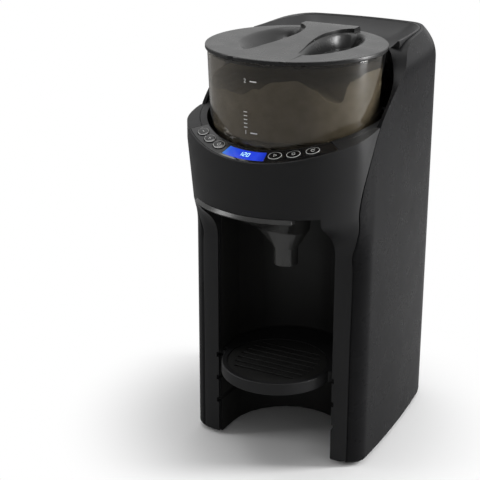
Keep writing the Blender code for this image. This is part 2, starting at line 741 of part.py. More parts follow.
def arc(centre, radius, start, end, steps):
    """Points along an arc, both ends included, angles in radians."""
    points = []
    for step in range(steps + 1):
        angle = start + (end - start) * step / steps
        points.append((centre[0] + radius * math.cos(angle), centre[1] + radius * math.sin(angle)))
    return points


def tube(name, points, radius, resolution=2):
    """A round tube along a smooth route through the points."""
    curve = bpy.data.curves.new(name, "CURVE")
    curve.dimensions = "3D"
    curve.bevel_depth = radius
    curve.bevel_resolution = resolution
    curve.use_fill_caps = True
    line = curve.splines.new("POLY")
    line.points.add(len(points) - 1)
    for point, spot in zip(line.points, points):
        point.co = (*spot, 1.0)
    return curve_solid(name, curve)


def smooth_route(points, steps):
    """A curve through the points: Catmull-Rom, with the same steps in each stretch."""
    spots = [Vector(point) for point in points]
    padded = [spots[0] * 2.0 - spots[1]] + spots + [spots[-1] * 2.0 - spots[-2]]
    route = []
    for index in range(1, len(padded) - 2):
        before, start, end, after = padded[index - 1:index + 3]
        for step in range(steps):
            share = step / steps
            square = share * share
            cube = square * share
            spot = start * 2.0 + (end - before) * share
            spot += (before * 2.0 - start * 5.0 + end * 4.0 - after) * square
            spot += (start * 3.0 - before - end * 3.0 + after) * cube
            route.append(spot / 2.0)
    route.append(spots[-1])
    return route


def finish(obj, name, look, origin=None, smooth=math.radians(35.0)):
    """Name, colour and shade a finished piece, and set its origin."""
    obj.name = name
    obj.data.name = name
    obj.data.materials.clear()
    obj.data.materials.append(look)
    shape = bmesh.new()
    shape.from_mesh(obj.data)
    bmesh.ops.dissolve_degenerate(shape, dist=SLIVER, edges=shape.edges)
    if origin is not None:
        bmesh.ops.translate(shape, vec=-Vector(origin), verts=shape.verts)
    for face in shape.faces:
        face.material_index = 0
    shape.to_mesh(obj.data)
    shape.free()
    if origin is not None:
        obj.location = origin
    obj.data.shade_smooth()
    obj.data.set_sharp_from_angle(angle=smooth)
    return obj


def split_line(shift_y=0.0, shift_z=0.0):
    """The parting line as (y, z) points, smoothed, moved by a shift."""
    spots = [(REAR_Y * y + shift_y, BODY_TOP * z + shift_z, 0.0) for y, z in SPLIT_SHARES]
    return [(spot.x, spot.y) for spot in smooth_route(spots, SPLIT_STEPS)]


def side_prism(name, outline):
    """An outline in (y, z) made a block wider than the body."""
    reach = SIDE_HALF + OVERRUN
    return plate(name, outline, -reach, reach, SIDE_TURN)


def front_outline(shift_y, drop=0.0):
    """Side outline of what lies in front of the parting line and under the crown."""
    line = [(y, z) for y, z in split_line(shift_y) if z < crown_z(y, drop) and y < 0.0]
    start = line[-1][0]
    crown = []
    for step in range(1, CROWN_STEPS + 1):
        y = start + (FRONT_LIMIT_Y - start) * step / CROWN_STEPS
        crown.append((y, crown_z(y, drop)))
    return line + crown + [(FRONT_LIMIT_Y, line[0][1])]


def alcove_outline(half, front_y, steps=14):
    """Plan of the bottle alcove: straight sides and a round back."""
    back = arc((0.0, ALCOVE_Y), half, 0.0, math.pi, steps)
    return [(half, front_y)] + back + [(-half, front_y)]


def polar_band(inner, outer, start, end, steps):
    """Plan of a band about the container's axis; angles from the front, positive to the right."""
    turn = -math.pi / 2.0
    outside = arc((0.0, BOWL_Y), outer, turn + start, turn + end, steps)
    inside = arc((0.0, BOWL_Y), inner, turn + end, turn + start, steps)
    return outside + inside


def fascia_plan(spread):
    """Plan of the control panel, grown by a clearance."""
    widen = spread / PANEL_R
    half = FASCIA_HALF_ANGLE + widen
    return polar_band(FASCIA_IN_R - spread, FASCIA_OUT_R + spread, -half, half, FASCIA_STEPS)


def crowned_plate(name, outline, drop, thickness):
    """A plan outline with a crowned top, lowered by a drop, and an even thickness."""
    low = POCKET_FLOOR - DECK_FLOOR - OVERRUN
    made = plate(name, outline, low, CROWN_TOP + OVERRUN)
    ys = [y for _, y in outline]
    front = min(ys) - OVERRUN
    back = max(ys) + OVERRUN
    section = []
    for step in range(CROWN_STEPS + 1):
        y = front + (back - front) * step / CROWN_STEPS
        section.append((y, crown_z(y, drop)))
    for y, _ in reversed(section[:CROWN_STEPS + 1]):
        section.append((y, crown_z(y, drop + thickness)))
    return common(made, side_prism(name + "_crown", section))


def make_front_housing():
    """Nose and leg fronts: one moulding with a tongue that goes inside the rear shell."""
    shell = skin_solid("front_housing", 0.0)
    common(shell, side_prism("front_part", front_outline(-SPLIT_GAP / 2.0)))
    tongue = skin_solid("front_tongue", WALL + CLEAR)
    common(tongue, side_prism("tongue_part", front_outline(SPLIT_TONGUE, CLEAR)))
    ring_r = WELL_R + WALL + CLEAR
    cut(tongue, rod("tongue_end", (0.0, BOWL_Y), ring_r, WELL_BOTTOM - CLEAR, BODY_TOP, WELL_SIDES))
    join(shell, tongue)
    hollow = skin_solid("front_hollow", NOSE_WALL, BODY_BOTTOM - OVERRUN, BODY_TOP)
    cheek_in = ALCOVE_HALF - WALL
    cheek_out = ALCOVE_HALF + ALCOVE_WALL + CLEAR
    for side in (-1.0, 1.0):
        near = min(side * cheek_in, side * cheek_out)
        far = max(side * cheek_in, side * cheek_out)
        low = (near, FRONT_LIMIT_Y, BODY_BOTTOM - OVERRUN * 2.0)
        high = (far, 0.0, ALCOVE_TOP + NOSE_FLOOR + CLEAR)
        cut(hollow, box("front_cheek", low, high))
    roof = [(FRONT_LIMIT_Y, BODY_BOTTOM - OVERRUN * 2.0), (OVERRUN, BODY_BOTTOM - OVERRUN * 2.0)]
    for step in range(CROWN_STEPS + 1):
        y = OVERRUN + (FRONT_LIMIT_Y - OVERRUN) * step / CROWN_STEPS
        roof.append((y, crown_z(y, NOSE_WALL)))
    common(hollow, side_prism("front_roof", roof))
    cut(shell, hollow)
    arch_low = (-ALCOVE_HALF, FRONT_LIMIT_Y, BODY_BOTTOM - OVERRUN)
    cut(shell, box("front_arch", arch_low, (ALCOVE_HALF, 0.0, ALCOVE_TOP)))
    cut_stand_grooves(shell, FRONT_LIMIT_Y)
    cut(shell, rod("front_well", (0.0, BOWL_Y), WELL_R, WELL_BOTTOM, BODY_TOP, WELL_SIDES))
    deep = FASCIA_THICK + CLEAR
    recess = crowned_plate("fascia_recess", fascia_plan(CLEAR), -OVERRUN, OVERRUN + deep)
    cut(shell, recess)
    open_panel_ways(shell)
    return finish(shell, "front_housing", CHARCOAL)


def make_rear_shell():
    """Sides, back, wings and rim: one moulding, open below and over the water tank."""
    shell = skin_solid("rear_shell", 0.0)
    behind = split_line(SPLIT_GAP / 2.0)
    far_y = behind[-1][0]
    below = BODY_BOTTOM - OVERRUN * 2.0
    part = [(far_y, below)] + list(reversed(behind)) + [(behind[0][0], below)]
    common(shell, side_prism("rear_part", part))
    well_low = WELL_BOTTOM - OVERRUN
    cut(shell, rod("rear_well", (0.0, BOWL_Y), WELL_R, well_low, BODY_TOP + OVERRUN, WELL_SIDES))
    hollow = skin_solid("rear_hollow", WALL, BODY_BOTTOM - OVERRUN, BODY_TOP - WALL)
    lip = [(y, z) for y, z in split_line(WALL, -WALL) if y > WING_START_Y]
    section = [(FRONT_LIMIT_Y, below), (lip[-1][0], below)] + list(reversed(lip))
    section += [(WING_START_Y, CROWN_TOP), (FRONT_LIMIT_Y, CROWN_TOP)]
    common(hollow, side_prism("rear_section", section))
    ring = rod("well_ring", (0.0, BOWL_Y), WELL_R + WALL, WELL_BOTTOM, BODY_TOP + OVERRUN, WELL_SIDES)
    core_high = BODY_TOP + OVERRUN * 2.0
    cut(ring, rod("well_core", (0.0, BOWL_Y), WELL_R - CLEAR, well_low, core_high, WELL_SIDES))
    cut(hollow, ring)
    cut(shell, hollow)
    open_half = SIDE_HALF - LEG_CORNER / 2.0
    mouth_low = (-open_half, FRONT_LIMIT_Y, below)
    cut(shell, box("rear_mouth", mouth_low, (open_half, WING_START_Y, WELL_BOTTOM - OVERRUN * 2.0)))
    opening = tank_opening("tank_opening", 0.0, TANK_OPEN_Z, BODY_TOP + OVERRUN)
    cut(shell, opening)
    inlet_low = (INLET_X - INLET_WIDE / 2.0, REAR_Y - OVERRUN * 2.0, INLET_Z - INLET_HIGH / 2.0)
    inlet_high = (INLET_X + INLET_WIDE / 2.0, REAR_Y + OVERRUN, INLET_Z + INLET_HIGH / 2.0)
    cut(shell, box("inlet_hole", inlet_low, inlet_high))
    return finish(shell, "rear_shell", GRAPHITE)


def tank_opening(name, inset, low, high):
    """Space inside the rim and behind the container well."""
    rings = [skin_ring(NOSE_START_Z, RIM_IN + inset, low), skin_ring(NOSE_START_Z, RIM_IN + inset, high)]
    made = loft(name, rings)
    reach = SIDE_HALF + OVERRUN
    front_low = (-reach, FRONT_LIMIT_Y, low - OVERRUN)
    cut(made, box(name + "_front", front_low, (reach, TANK_OPEN_Y + inset, high + OVERRUN)))
    return made


def panel_spot(degrees, radius):
    """Point on the crowned deck, and its angle, on a circle about the container's axis."""
    angle = math.radians(degrees)
    x = radius * math.sin(angle)
    y = BOWL_Y - radius * math.cos(angle)
    return x, y, crown_z(y)


def oval_plan(degrees, spread):
    """Plan of one button, its long side along the panel, grown by a clearance."""
    x, y, _ = panel_spot(degrees, PANEL_R)
    turn = math.radians(degrees)
    points = []
    for step in range(BUTTON_SIDES):
        angle = 2.0 * math.pi * step / BUTTON_SIDES
        along = (BUTTON_LONG / 2.0 + spread) * math.cos(angle)
        across = (BUTTON_WIDE / 2.0 + spread) * math.sin(angle)
        points.append((x + along * math.cos(turn) - across * math.sin(turn),
                       y + along * math.sin(turn) + across * math.cos(turn)))
    return points


def display_plan(rim):
    """Plan of the display, drawn in from the window by a rim."""
    turn = rim / PANEL_R
    start = WINDOW_FROM + turn
    end = WINDOW_TO - turn
    return polar_band(WINDOW_IN_R + rim, WINDOW_OUT_R - rim, start, end, WINDOW_STEPS)


def control_board_top():
    """Height of the control board, just under the lowest edge of the display module."""
    front = BOWL_Y - WINDOW_OUT_R + DISPLAY_RIM
    return crown_z(front) - FASCIA_THICK - DISPLAY_THICK - 2.0 * CLEAR


def open_panel_ways(obj):
    """Cut the ways of the buttons, their stems and the display through a piece under the panel."""
    depth = BUTTON_DEEP + BUTTON_TRAVEL + CLEAR
    for degrees in BUTTON_ANGLES:
        outline = oval_plan(degrees, BUTTON_CLEAR)
        cut(obj, crowned_plate("button_way", outline, -OVERRUN / 2.0, OVERRUN / 2.0 + depth))
        x, y, top = panel_spot(degrees, PANEL_R)
        cut(obj, rod("stem_way", (x, y), STEM_R + BUTTON_CLEAR, WELL_BOTTOM, top, BUTTON_SIDES))
    band = display_plan(DISPLAY_RIM - CLEAR)
    cut(obj, plate("display_way", band, WELL_BOTTOM, CROWN_TOP))


def make_control_panel():
    """Gloss crescent round the container, its display and its six buttons."""
    fascia = crowned_plate("control_fascia", fascia_plan(0.0), 0.0, FASCIA_THICK)
    for degrees in BUTTON_ANGLES:
        outline = oval_plan(degrees, BUTTON_CLEAR)
        cut(fascia, crowned_plate("button_hole", outline, -OVERRUN / 2.0, OVERRUN))
    hole = display_plan(-CLEAR)
    cut(fascia, crowned_plate("window_hole", hole, -OVERRUN / 2.0, OVERRUN))
    finish(fascia, "control_fascia", GLOSS_BLACK)
    window = crowned_plate("display_window", display_plan(0.0), 0.0, FASCIA_THICK)
    finish(window, "display_window", DISPLAY_BLUE)
    drop = FASCIA_THICK + CLEAR
    module = crowned_plate("display_module", display_plan(DISPLAY_RIM), drop, DISPLAY_THICK)
    finish(module, "display_module", LINER_BLACK)
    for number, degrees in enumerate(BUTTON_ANGLES, start=1):
        cap = crowned_plate("cap", oval_plan(degrees, 0.0), -BUTTON_PROUD, BUTTON_PROUD + BUTTON_DEEP)
        x, y, top = panel_spot(degrees, PANEL_R)
        low = control_board_top() + BUTTON_TRAVEL + CLEAR
        join(cap, rod("stem", (x, y), STEM_R, low, top, BUTTON_SIDES))
        finish(cap, "button_%d" % number, GLOSS_BLACK, (x, y, top))
    half = CONTROL_BOARD_HALF
    band = polar_band(CONTROL_BOARD_IN_R, CONTROL_BOARD_OUT_R, -half, half, FASCIA_STEPS)
    high = control_board_top()
    board = plate("control_board", band, high - CONTROL_BOARD_THICK, high)
    pipe = OUTLET_R + CHUTE_WALL + CLEAR
    cut(board, rod("chute_way", (0.0, OUTLET_Y), pipe, CHUTE_BOTTOM, CROWN_TOP, 20))
    finish(board, "control_board", BOARD_GREEN)


def make_top_deck():
    """Crowned ring with the pocket that the powder container stands in."""
    low = DECK_SKIRT_BOTTOM
    deck = rod("top_deck", (0.0, BOWL_Y), WELL_R - CLEAR, low, CROWN_TOP + OVERRUN, WELL_SIDES)
    under = [(FRONT_LIMIT_Y, low - OVERRUN)]
    end = BOWL_Y + WELL_R + OVERRUN
    for step in range(2 * CROWN_STEPS + 1):
        y = FRONT_LIMIT_Y + (end - FRONT_LIMIT_Y) * step / (2 * CROWN_STEPS)
        under.append((y, crown_z(y)))
    under.append((end, low - OVERRUN))
    common(deck, side_prism("deck_crown", under))
    cut(deck, rod("pocket", (0.0, BOWL_Y), POCKET_R, POCKET_FLOOR, CROWN_TOP + OVERRUN, WELL_SIDES))
    hollow_r = WELL_R - CLEAR - WALL
    cut(deck, rod("under", (0.0, BOWL_Y), hollow_r, low - OVERRUN, POCKET_FLOOR - DECK_FLOOR, WELL_SIDES))
    cut(deck, crowned_plate("deck_recess", fascia_plan(CLEAR), -OVERRUN, OVERRUN + FASCIA_THICK + CLEAR))
    open_panel_ways(deck)
    half = CONTROL_BOARD_HALF + CLEAR / PANEL_R
    in_r = CONTROL_BOARD_IN_R - CLEAR
    band = polar_band(in_r, CONTROL_BOARD_OUT_R + CLEAR, -half, half, FASCIA_STEPS)
    cut(deck, plate("board_way", band, low - OVERRUN, control_board_top() + CLEAR))
    cut(deck, rod("drive_hole", (0.0, BOWL_Y), DRIVE_HOLE_R, low, POCKET_FLOOR + OVERRUN, 24))
    cut(deck, rod("outlet_hole", (0.0, OUTLET_Y), OUTLET_R, low, POCKET_FLOOR + OVERRUN, 24))
    return finish(deck, "top_deck", CHARCOAL)


def make_powder_chute():
    """Flanged tube that leads the powder from the deck down into the funnel."""
    high = POCKET_FLOOR - DECK_FLOOR - CLEAR
    pipe_r = OUTLET_R + CHUTE_WALL
    profile = [(OUTLET_R, high), (CHUTE_FLANGE_R, high), (CHUTE_FLANGE_R, high - CHUTE_FLANGE),
               (pipe_r, high - CHUTE_FLANGE), (pipe_r, CHUTE_BOTTOM), (OUTLET_R, CHUTE_BOTTOM)]
    chute = turned("powder_chute", profile, (0.0, OUTLET_Y), 20)
    return finish(chute, "powder_chute", MOVING_WHITE)


def make_container():
    """Smoke-clear jar whose floor carries the dosing wheel."""
    low = POCKET_FLOOR + CLEAR
    profile = [(JAR_TOP_R - JAR_WALL, JAR_TOP), (JAR_TOP_R, JAR_TOP), (JAR_LOW_R, JAR_LOW_Z),
               (JAR_FOOT_R, low + JAR_FLOOR), (JAR_FOOT_R - JAR_FLOOR / 2.0, low), (0.0, low),
               (0.0, low + JAR_FLOOR), (JAR_FOOT_R - JAR_WALL, low + JAR_FLOOR),
               (JAR_LOW_R - JAR_WALL, JAR_LOW_Z)]
    jar = turned("powder_container", profile, (0.0, BOWL_Y), WELL_SIDES)
    cut(jar, rod("jar_drive", (0.0, BOWL_Y), DRIVE_HOLE_R, low - OVERRUN, low + OVERRUN, 24))
    cut(jar, rod("jar_outlet", (0.0, OUTLET_Y), OUTLET_R, low - OVERRUN, low + OVERRUN, 24))
    finish(jar, "powder_container", SMOKE_CLEAR, (0.0, BOWL_Y, low))


def make_dosing():
    """Dosing wheel, the fixed plate above it and the stirrer that turns with the wheel."""
    low = POCKET_FLOOR + CLEAR + JAR_FLOOR + WHEEL_RUN
    high = low + WHEEL_THICK
    centre = (0.0, BOWL_Y)
    wheel = rod("dosing_wheel", centre, WHEEL_R, low, high, WELL_SIDES)
    for number in range(WHEEL_POCKETS):
        angle = 2.0 * math.pi * number / WHEEL_POCKETS
        spot = (OUTLET_OFFSET * math.sin(angle), BOWL_Y - OUTLET_OFFSET * math.cos(angle))
        cut(wheel, rod("pocket", spot, WHEEL_POCKET_R, low - OVERRUN, high + OVERRUN, 14))
    socket = DOG_HALF + CLEAR
    socket_low = (-socket, BOWL_Y - socket, low - OVERRUN)
    cut(wheel, box("socket", socket_low, (socket, BOWL_Y + socket, low + DOG_DEEP + CLEAR)))
    finish(wheel, "dosing_wheel", MOVING_WHITE, (0.0, BOWL_Y, low))
    cover_low = high + WHEEL_RUN
    cover_high = cover_low + COVER_THICK
    cover = rod("scraper_plate", centre, COVER_R, cover_low, cover_high, WELL_SIDES)
    cut(cover, rod("hub_hole", centre, HUB_R + WHEEL_RUN, cover_low - OVERRUN, cover_high + OVERRUN, 24))
    reach = OUTLET_OFFSET + WHEEL_POCKET_R
    inner = OUTLET_OFFSET - WHEEL_POCKET_R
    band = polar_band(inner, reach, COVER_WINDOW_FROM, COVER_WINDOW_TO, 18)
    cut(cover, plate("inlet_window", band, cover_low - OVERRUN, cover_high + OVERRUN))
    finish(cover, "scraper_plate", MOVING_WHITE)
    top = cover_high + STIRRER_HIGH
    stirrer = rod("stirrer", centre, HUB_R, high + CLEAR, top, 24, HUB_R * STIRRER_TAPER_SHARE)
    lift = cover_high + WHEEL_RUN + STIRRER_ROD_R
    for side in (-1.0, 1.0):
        end = (side * STIRRER_REACH * STIRRER_BEND_SHARE, BOWL_Y + side * STIRRER_REACH / 2.0, lift)
        bend = (side * STIRRER_REACH / 2.0, BOWL_Y, lift)
        join(stirrer, tube("arm", [(0.0, BOWL_Y, lift), bend, end], STIRRER_ROD_R, 1))
    finish(stirrer, "stirrer", MOVING_WHITE, (0.0, BOWL_Y, low))


def gear_outline(centre, teeth, phase):
    """Outline of a gear with straight-sided teeth."""
    pitch_r = GEAR_MODULE * teeth / 2.0
    tip_r = pitch_r + GEAR_MODULE * TOOTH_TOP_SHARE
    root_r = pitch_r - GEAR_MODULE * TOOTH_ROOT_SHARE
    step = 2.0 * math.pi / teeth
    points = []
    for number in range(teeth):
        middle = phase + step * number
        for radius, share in ((root_r, -TOOTH_BASE_SHARE), (tip_r, -TOOTH_TIP_SHARE),
                              (tip_r, TOOTH_TIP_SHARE), (root_r, TOOTH_BASE_SHARE)):
            angle = middle + step * share
            points.append((centre[0] + radius * math.cos(angle), centre[1] + radius * math.sin(angle)))
    return points


def make_drive():
    """Motor, pinion and gear that turn the dosing wheel through a square dog."""
    centre = (0.0, BOWL_Y)
    motor_y = BOWL_Y + GEAR_MODULE * (GEAR_TEETH + PINION_TEETH) / 2.0
    motor_at = (0.0, motor_y)
    gear_high = GEAR_LOW + GEAR_THICK
    quarter = math.pi / 2.0
    gear = plate("drive_gear", gear_outline(centre, GEAR_TEETH, quarter), GEAR_LOW, gear_high)
    cut(gear, rod("bore", centre, SHAFT_R + SHAFT_RUN, GEAR_LOW - OVERRUN, gear_high + OVERRUN, 24))
    finish(gear, "drive_gear", MOVING_WHITE, (*centre, GEAR_LOW))
    dog_top = POCKET_FLOOR + CLEAR + JAR_FLOOR + WHEEL_RUN + DOG_DEEP - CLEAR
    neck = POCKET_FLOOR - DECK_FLOOR
    shaft = rod("drive_shaft", centre, SHAFT_R, SHAFT_BOTTOM, neck, 24)
    dog_low = (-DOG_HALF, BOWL_Y - DOG_HALF, neck - DECK_FLOOR)
    join(shaft, box("dog", dog_low, (DOG_HALF, BOWL_Y + DOG_HALF, dog_top)))
    finish(shaft, "drive_shaft", STEEL, (*centre, SHAFT_BOTTOM))
    phase = -quarter + math.pi / PINION_TEETH
    pinion = plate("motor_pinion", gear_outline(motor_at, PINION_TEETH, phase), GEAR_LOW, gear_high)
    stem_low = BRACKET_TOP - BRACKET_THICK - PINION_HUB_DEEP
    join(pinion, rod("pinion_shaft", motor_at, MOTOR_SHAFT_R, stem_low, gear_high - CLEAR, 16))
    finish(pinion, "motor_pinion", STEEL, (*motor_at, GEAR_LOW))
    low = BRACKET_TOP - BRACKET_THICK
    outline = [(-BRACKET_HALF, BRACKET_FRONT_Y), (BRACKET_HALF, BRACKET_FRONT_Y),
               (BRACKET_HALF, BRACKET_BACK_Y), (-BRACKET_HALF, BRACKET_BACK_Y)]
    bracket = plate("motor_bracket", outline, low, BRACKET_TOP)
    deck_low = ALCOVE_TOP + ALCOVE_WALL + CLEAR
    for side in (-1.0, 1.0):
        for y in (BRACKET_FRONT_Y + POST_R * 2.0, BRACKET_BACK_Y - POST_R * 2.0):
            spot = (side * (BRACKET_HALF - POST_R * 1.5), y)
            join(bracket, rod("post", spot, POST_R, deck_low, low + CLEAR, 16))
    cut(bracket, rod("bearing", centre, SHAFT_R + SHAFT_RUN, low - OVERRUN, BRACKET_TOP + OVERRUN, 24))
    cut(bracket, rod("way", motor_at, MOTOR_SHAFT_R + CLEAR, low - OVERRUN, BRACKET_TOP + OVERRUN, 16))
    finish(bracket, "motor_bracket", ALUMINIUM)
    motor_high = low - CLEAR
    motor = rod("drive_motor", motor_at, MOTOR_R, motor_high - MOTOR_HIGH, motor_high, 28)
    way_low = motor_high - PINION_HUB_DEEP - CLEAR
    cut(motor, rod("way", motor_at, MOTOR_SHAFT_R + SHAFT_RUN, way_low, motor_high + OVERRUN, 16))
    finish(motor, "drive_motor", STEEL)


def make_container_lid():
    """Round lid with a raised grip across it and a finger scoop on each side."""
    low = JAR_TOP + CLEAR
    centre = (0.0, BOWL_Y)
    lid = rod("container_lid", centre, LID_R, low, low + LID_THICK, WELL_SIDES)
    plug_r = JAR_TOP_R - JAR_WALL - CLEAR * 2.0
    join(lid, rod("plug", centre, plug_r, low - LID_SKIRT, low + LID_THICK / 2.0, WELL_SIDES))
    cut(lid, rod("plug_hollow", centre, plug_r - SCOOP_WALL, low - OVERRUN, low + CLEAR, WELL_SIDES))
    high = low + LID_THICK
    section = []
    back = BOWL_Y + LID_R - GRIP_BACK_IN
    front = BOWL_Y - LID_R + GRIP_EDGE
    for step in range(GRIP_STEPS + 1):
        y = front + (back - front) * step / GRIP_STEPS
        section.append((y, high + GRIP_RISE * ease(step / GRIP_STEPS)))
    section += [(back + GRIP_EDGE, high), (back + GRIP_EDGE, low + CLEAR), (front, low + CLEAR)]
    reach = GRIP_HALF
    join(lid, plate("grip", section, -reach, reach, SIDE_TURN))
    for side in (-1.0, 1.0):
        join(lid, scoop("scoop_wall", side, SCOOP_WALL, high - CLEAR))
    for side in (-1.0, 1.0):
        cut(lid, scoop("scoop", side, 0.0, high + OVERRUN))
    return finish(lid, "container_lid", LID_GREY, (0.0, BOWL_Y, low))


def scoop(name, side, grow, high):
    """Half bowl beside the grip, its straight wall along the grip, grown by a wall."""
    low = JAR_TOP + CLEAR + LID_THICK
    rings = []
    for step in range(SCOOP_RINGS + 1):
        drop = math.sin(math.pi / 2.0 * (1.0 - step / SCOOP_RINGS) * SCOOP_CUT_SHARE)
        share = math.sqrt(1.0 - drop * drop)
        half_y = SCOOP_LONG * share + grow
        half_x = SCOOP_OUT * share + grow
        z = low - SCOOP_DEEP * drop - grow
        if step == SCOOP_RINGS:
            z = high
        ring = [(x * half_x / SCOOP_OUT, y * half_y / SCOOP_LONG, z) for x, y in scoop_plan()]
        rings.append([Vector((side * (x + GRIP_HALF - grow), y + SCOOP_Y, z)) for x, y, z in ring])
    return loft(name, rings)


def scoop_plan():
    """Half ellipse with its flat side at x = 0."""
    points = []
    for step in range(SCOOP_STEPS + 1):
        angle = -math.pi / 2.0 + math.pi * step / SCOOP_STEPS
        points.append((SCOOP_OUT * math.cos(angle), SCOOP_LONG * math.sin(angle)))
    return points


def cut_stand_grooves(obj, front_y):
    """Cut the grooves that the stand's ribs slide in, one pair for each level."""
    deep = ALCOVE_HALF + RAIL_DEEP
    rail_top = STAND_TOP - STAND_BAND / 2.0 + RAIL_HIGH / 2.0
    for level in range(STAND_LEVELS):
        top = rail_top - STAND_PITCH * level
        cut(obj, box("stand_groove", (-deep, front_y, top - RAIL_HIGH), (deep, RAIL_BACK_Y, top)))


def make_alcove():
    """Round-backed liner of the bottle space, with stand grooves and funnel rails, and the nose floor."""
    low = BODY_BOTTOM + CLEAR
    high = ALCOVE_TOP + ALCOVE_WALL
    outline = alcove_outline(ALCOVE_HALF + ALCOVE_WALL, LINER_FRONT_Y)
    liner = plate("alcove_liner", outline, low, high)
    arch_low = ALCOVE_TOP - ALCOVE_ARCH_R
    inside = ALCOVE_HALF - CLEAR
    bar_back = LINER_FRONT_Y + OVERRUN
    join(liner, box("arch_bar", (-inside, ARCH_FRONT_Y, arch_low), (inside, bar_back, FUNNEL_TOP)))
    room = plate("room", alcove_outline(ALCOVE_HALF, ARCH_FRONT_Y - OVERRUN), low - OVERRUN, ALCOVE_TOP)
    corner = ALCOVE_HALF - ALCOVE_ARCH_R
    arch = [(-ALCOVE_HALF - OVERRUN, low - OVERRUN * 2.0), (ALCOVE_HALF + OVERRUN, low - OVERRUN * 2.0)]
    arch += [(ALCOVE_HALF + OVERRUN, arch_low), (ALCOVE_HALF, arch_low)]
    arch += arc((corner, arch_low), ALCOVE_ARCH_R, 0.0, math.pi / 2.0, 6)[1:]
    arch += arc((-corner, arch_low), ALCOVE_ARCH_R, math.pi / 2.0, math.pi, 6)
    arch += [(-ALCOVE_HALF - OVERRUN, arch_low)]
    reach = REAR_Y
    common(room, plate("arch", arch, -reach, reach, FRONT_TURN))
    cut(liner, room)
    cut_stand_grooves(liner, ARCH_FRONT_Y)
    web_in = FUNNEL_STRIP_HALF + CLEAR
    web_out = web_in + FUNNEL_RAIL_WEB
    foot_top = FUNNEL_TOP - FUNNEL_FLANGE - CLEAR
    foot_low = foot_top - FUNNEL_RAIL_FOOT_HIGH
    for side in (-1.0, 1.0):
        spans = (("rail_web", web_in, foot_low, ALCOVE_TOP + CLEAR),
                 ("rail_foot", web_in - FUNNEL_RAIL_FOOT, foot_low, foot_top))
        for name, inner, bottom, top in spans:
            near = min(side * inner, side * web_out)
            far = max(side * inner, side * web_out)
            join(liner, box(name, (near, LINER_FRONT_Y, bottom), (far, FUNNEL_STRIP_BACK_Y, top)))
    nozzle_at = (NOZZLE_X, NOZZLE_Y)
    hole_low = ALCOVE_TOP - OVERRUN
    cut(liner, rod("nozzle_hole", nozzle_at, NOZZLE_R + CLEAR, hole_low, high + OVERRUN, 16))
    finish(liner, "alcove_liner", LINER_BLACK)
    half = ALCOVE_HALF - WALL - CLEAR
    floor_top = ALCOVE_TOP + NOSE_FLOOR
    inset = NOSE_WALL + CLEAR
    floor = loft("nose_floor", [skin_ring(ALCOVE_TOP, inset), skin_ring(floor_top, inset)])
    back_y = LINER_FRONT_Y - CLEAR
    room_high = (half, back_y, floor_top + OVERRUN)
    common(floor, box("floor_room", (-half, FRONT_LIMIT_Y, ALCOVE_TOP - OVERRUN), room_high))
    pipe = OUTLET_R + CHUTE_WALL + CLEAR
    cut(floor, rod("chute_hole", (0.0, OUTLET_Y), pipe, ALCOVE_TOP - OVERRUN, high, 20))
    finish(floor, "nose_floor", LINER_BLACK)


def angle_dense(points, centre, limit):
    """Split the sides of an outline so that no side spans more than an angle from a centre."""
    dense = []
    for index, point in enumerate(points):
        after = points[(index + 1) % len(points)]
        start = Vector((point[0] - centre[0], point[1] - centre[1]))
        end = Vector((after[0] - centre[0], after[1] - centre[1]))
        steps = max(1, math.ceil(start.angle(end) / limit))
        for step in range(steps):
            spot = start.lerp(end, step / steps)
            dense.append((spot.x + centre[0], spot.y + centre[1]))
    return dense


def hopper_ring(plan, shape, z, wall):
    """One section of the hopper: its plan at the top, an oval at the break, or the round spout."""
    ring = []
    for x, y in plan:
        away = Vector((x - SPOUT_X, y - SPOUT_Y))
        angle = math.atan2(away.y, away.x)
        if shape == "top":
            radius = away.length - wall * HOPPER_SLANT_SHARE
        elif shape == "break":
            half_x = (BREAK_RIGHT if away.x > 0.0 else -BREAK_LEFT) - wall
            half_y = (BREAK_BACK_Y - SPOUT_Y if away.y > 0.0 else SPOUT_Y - BREAK_FRONT_Y) - wall
            power = (abs(math.cos(angle)) / half_x) ** HOPPER_BREAK_POWER
            power += (abs(math.sin(angle)) / half_y) ** HOPPER_BREAK_POWER
            radius = power ** (-1.0 / HOPPER_BREAK_POWER)
        else:
            radius = SPOUT_R - wall
        ring.append(Vector((SPOUT_X + radius * math.cos(angle), SPOUT_Y + radius * math.sin(angle), z)))
    return ring


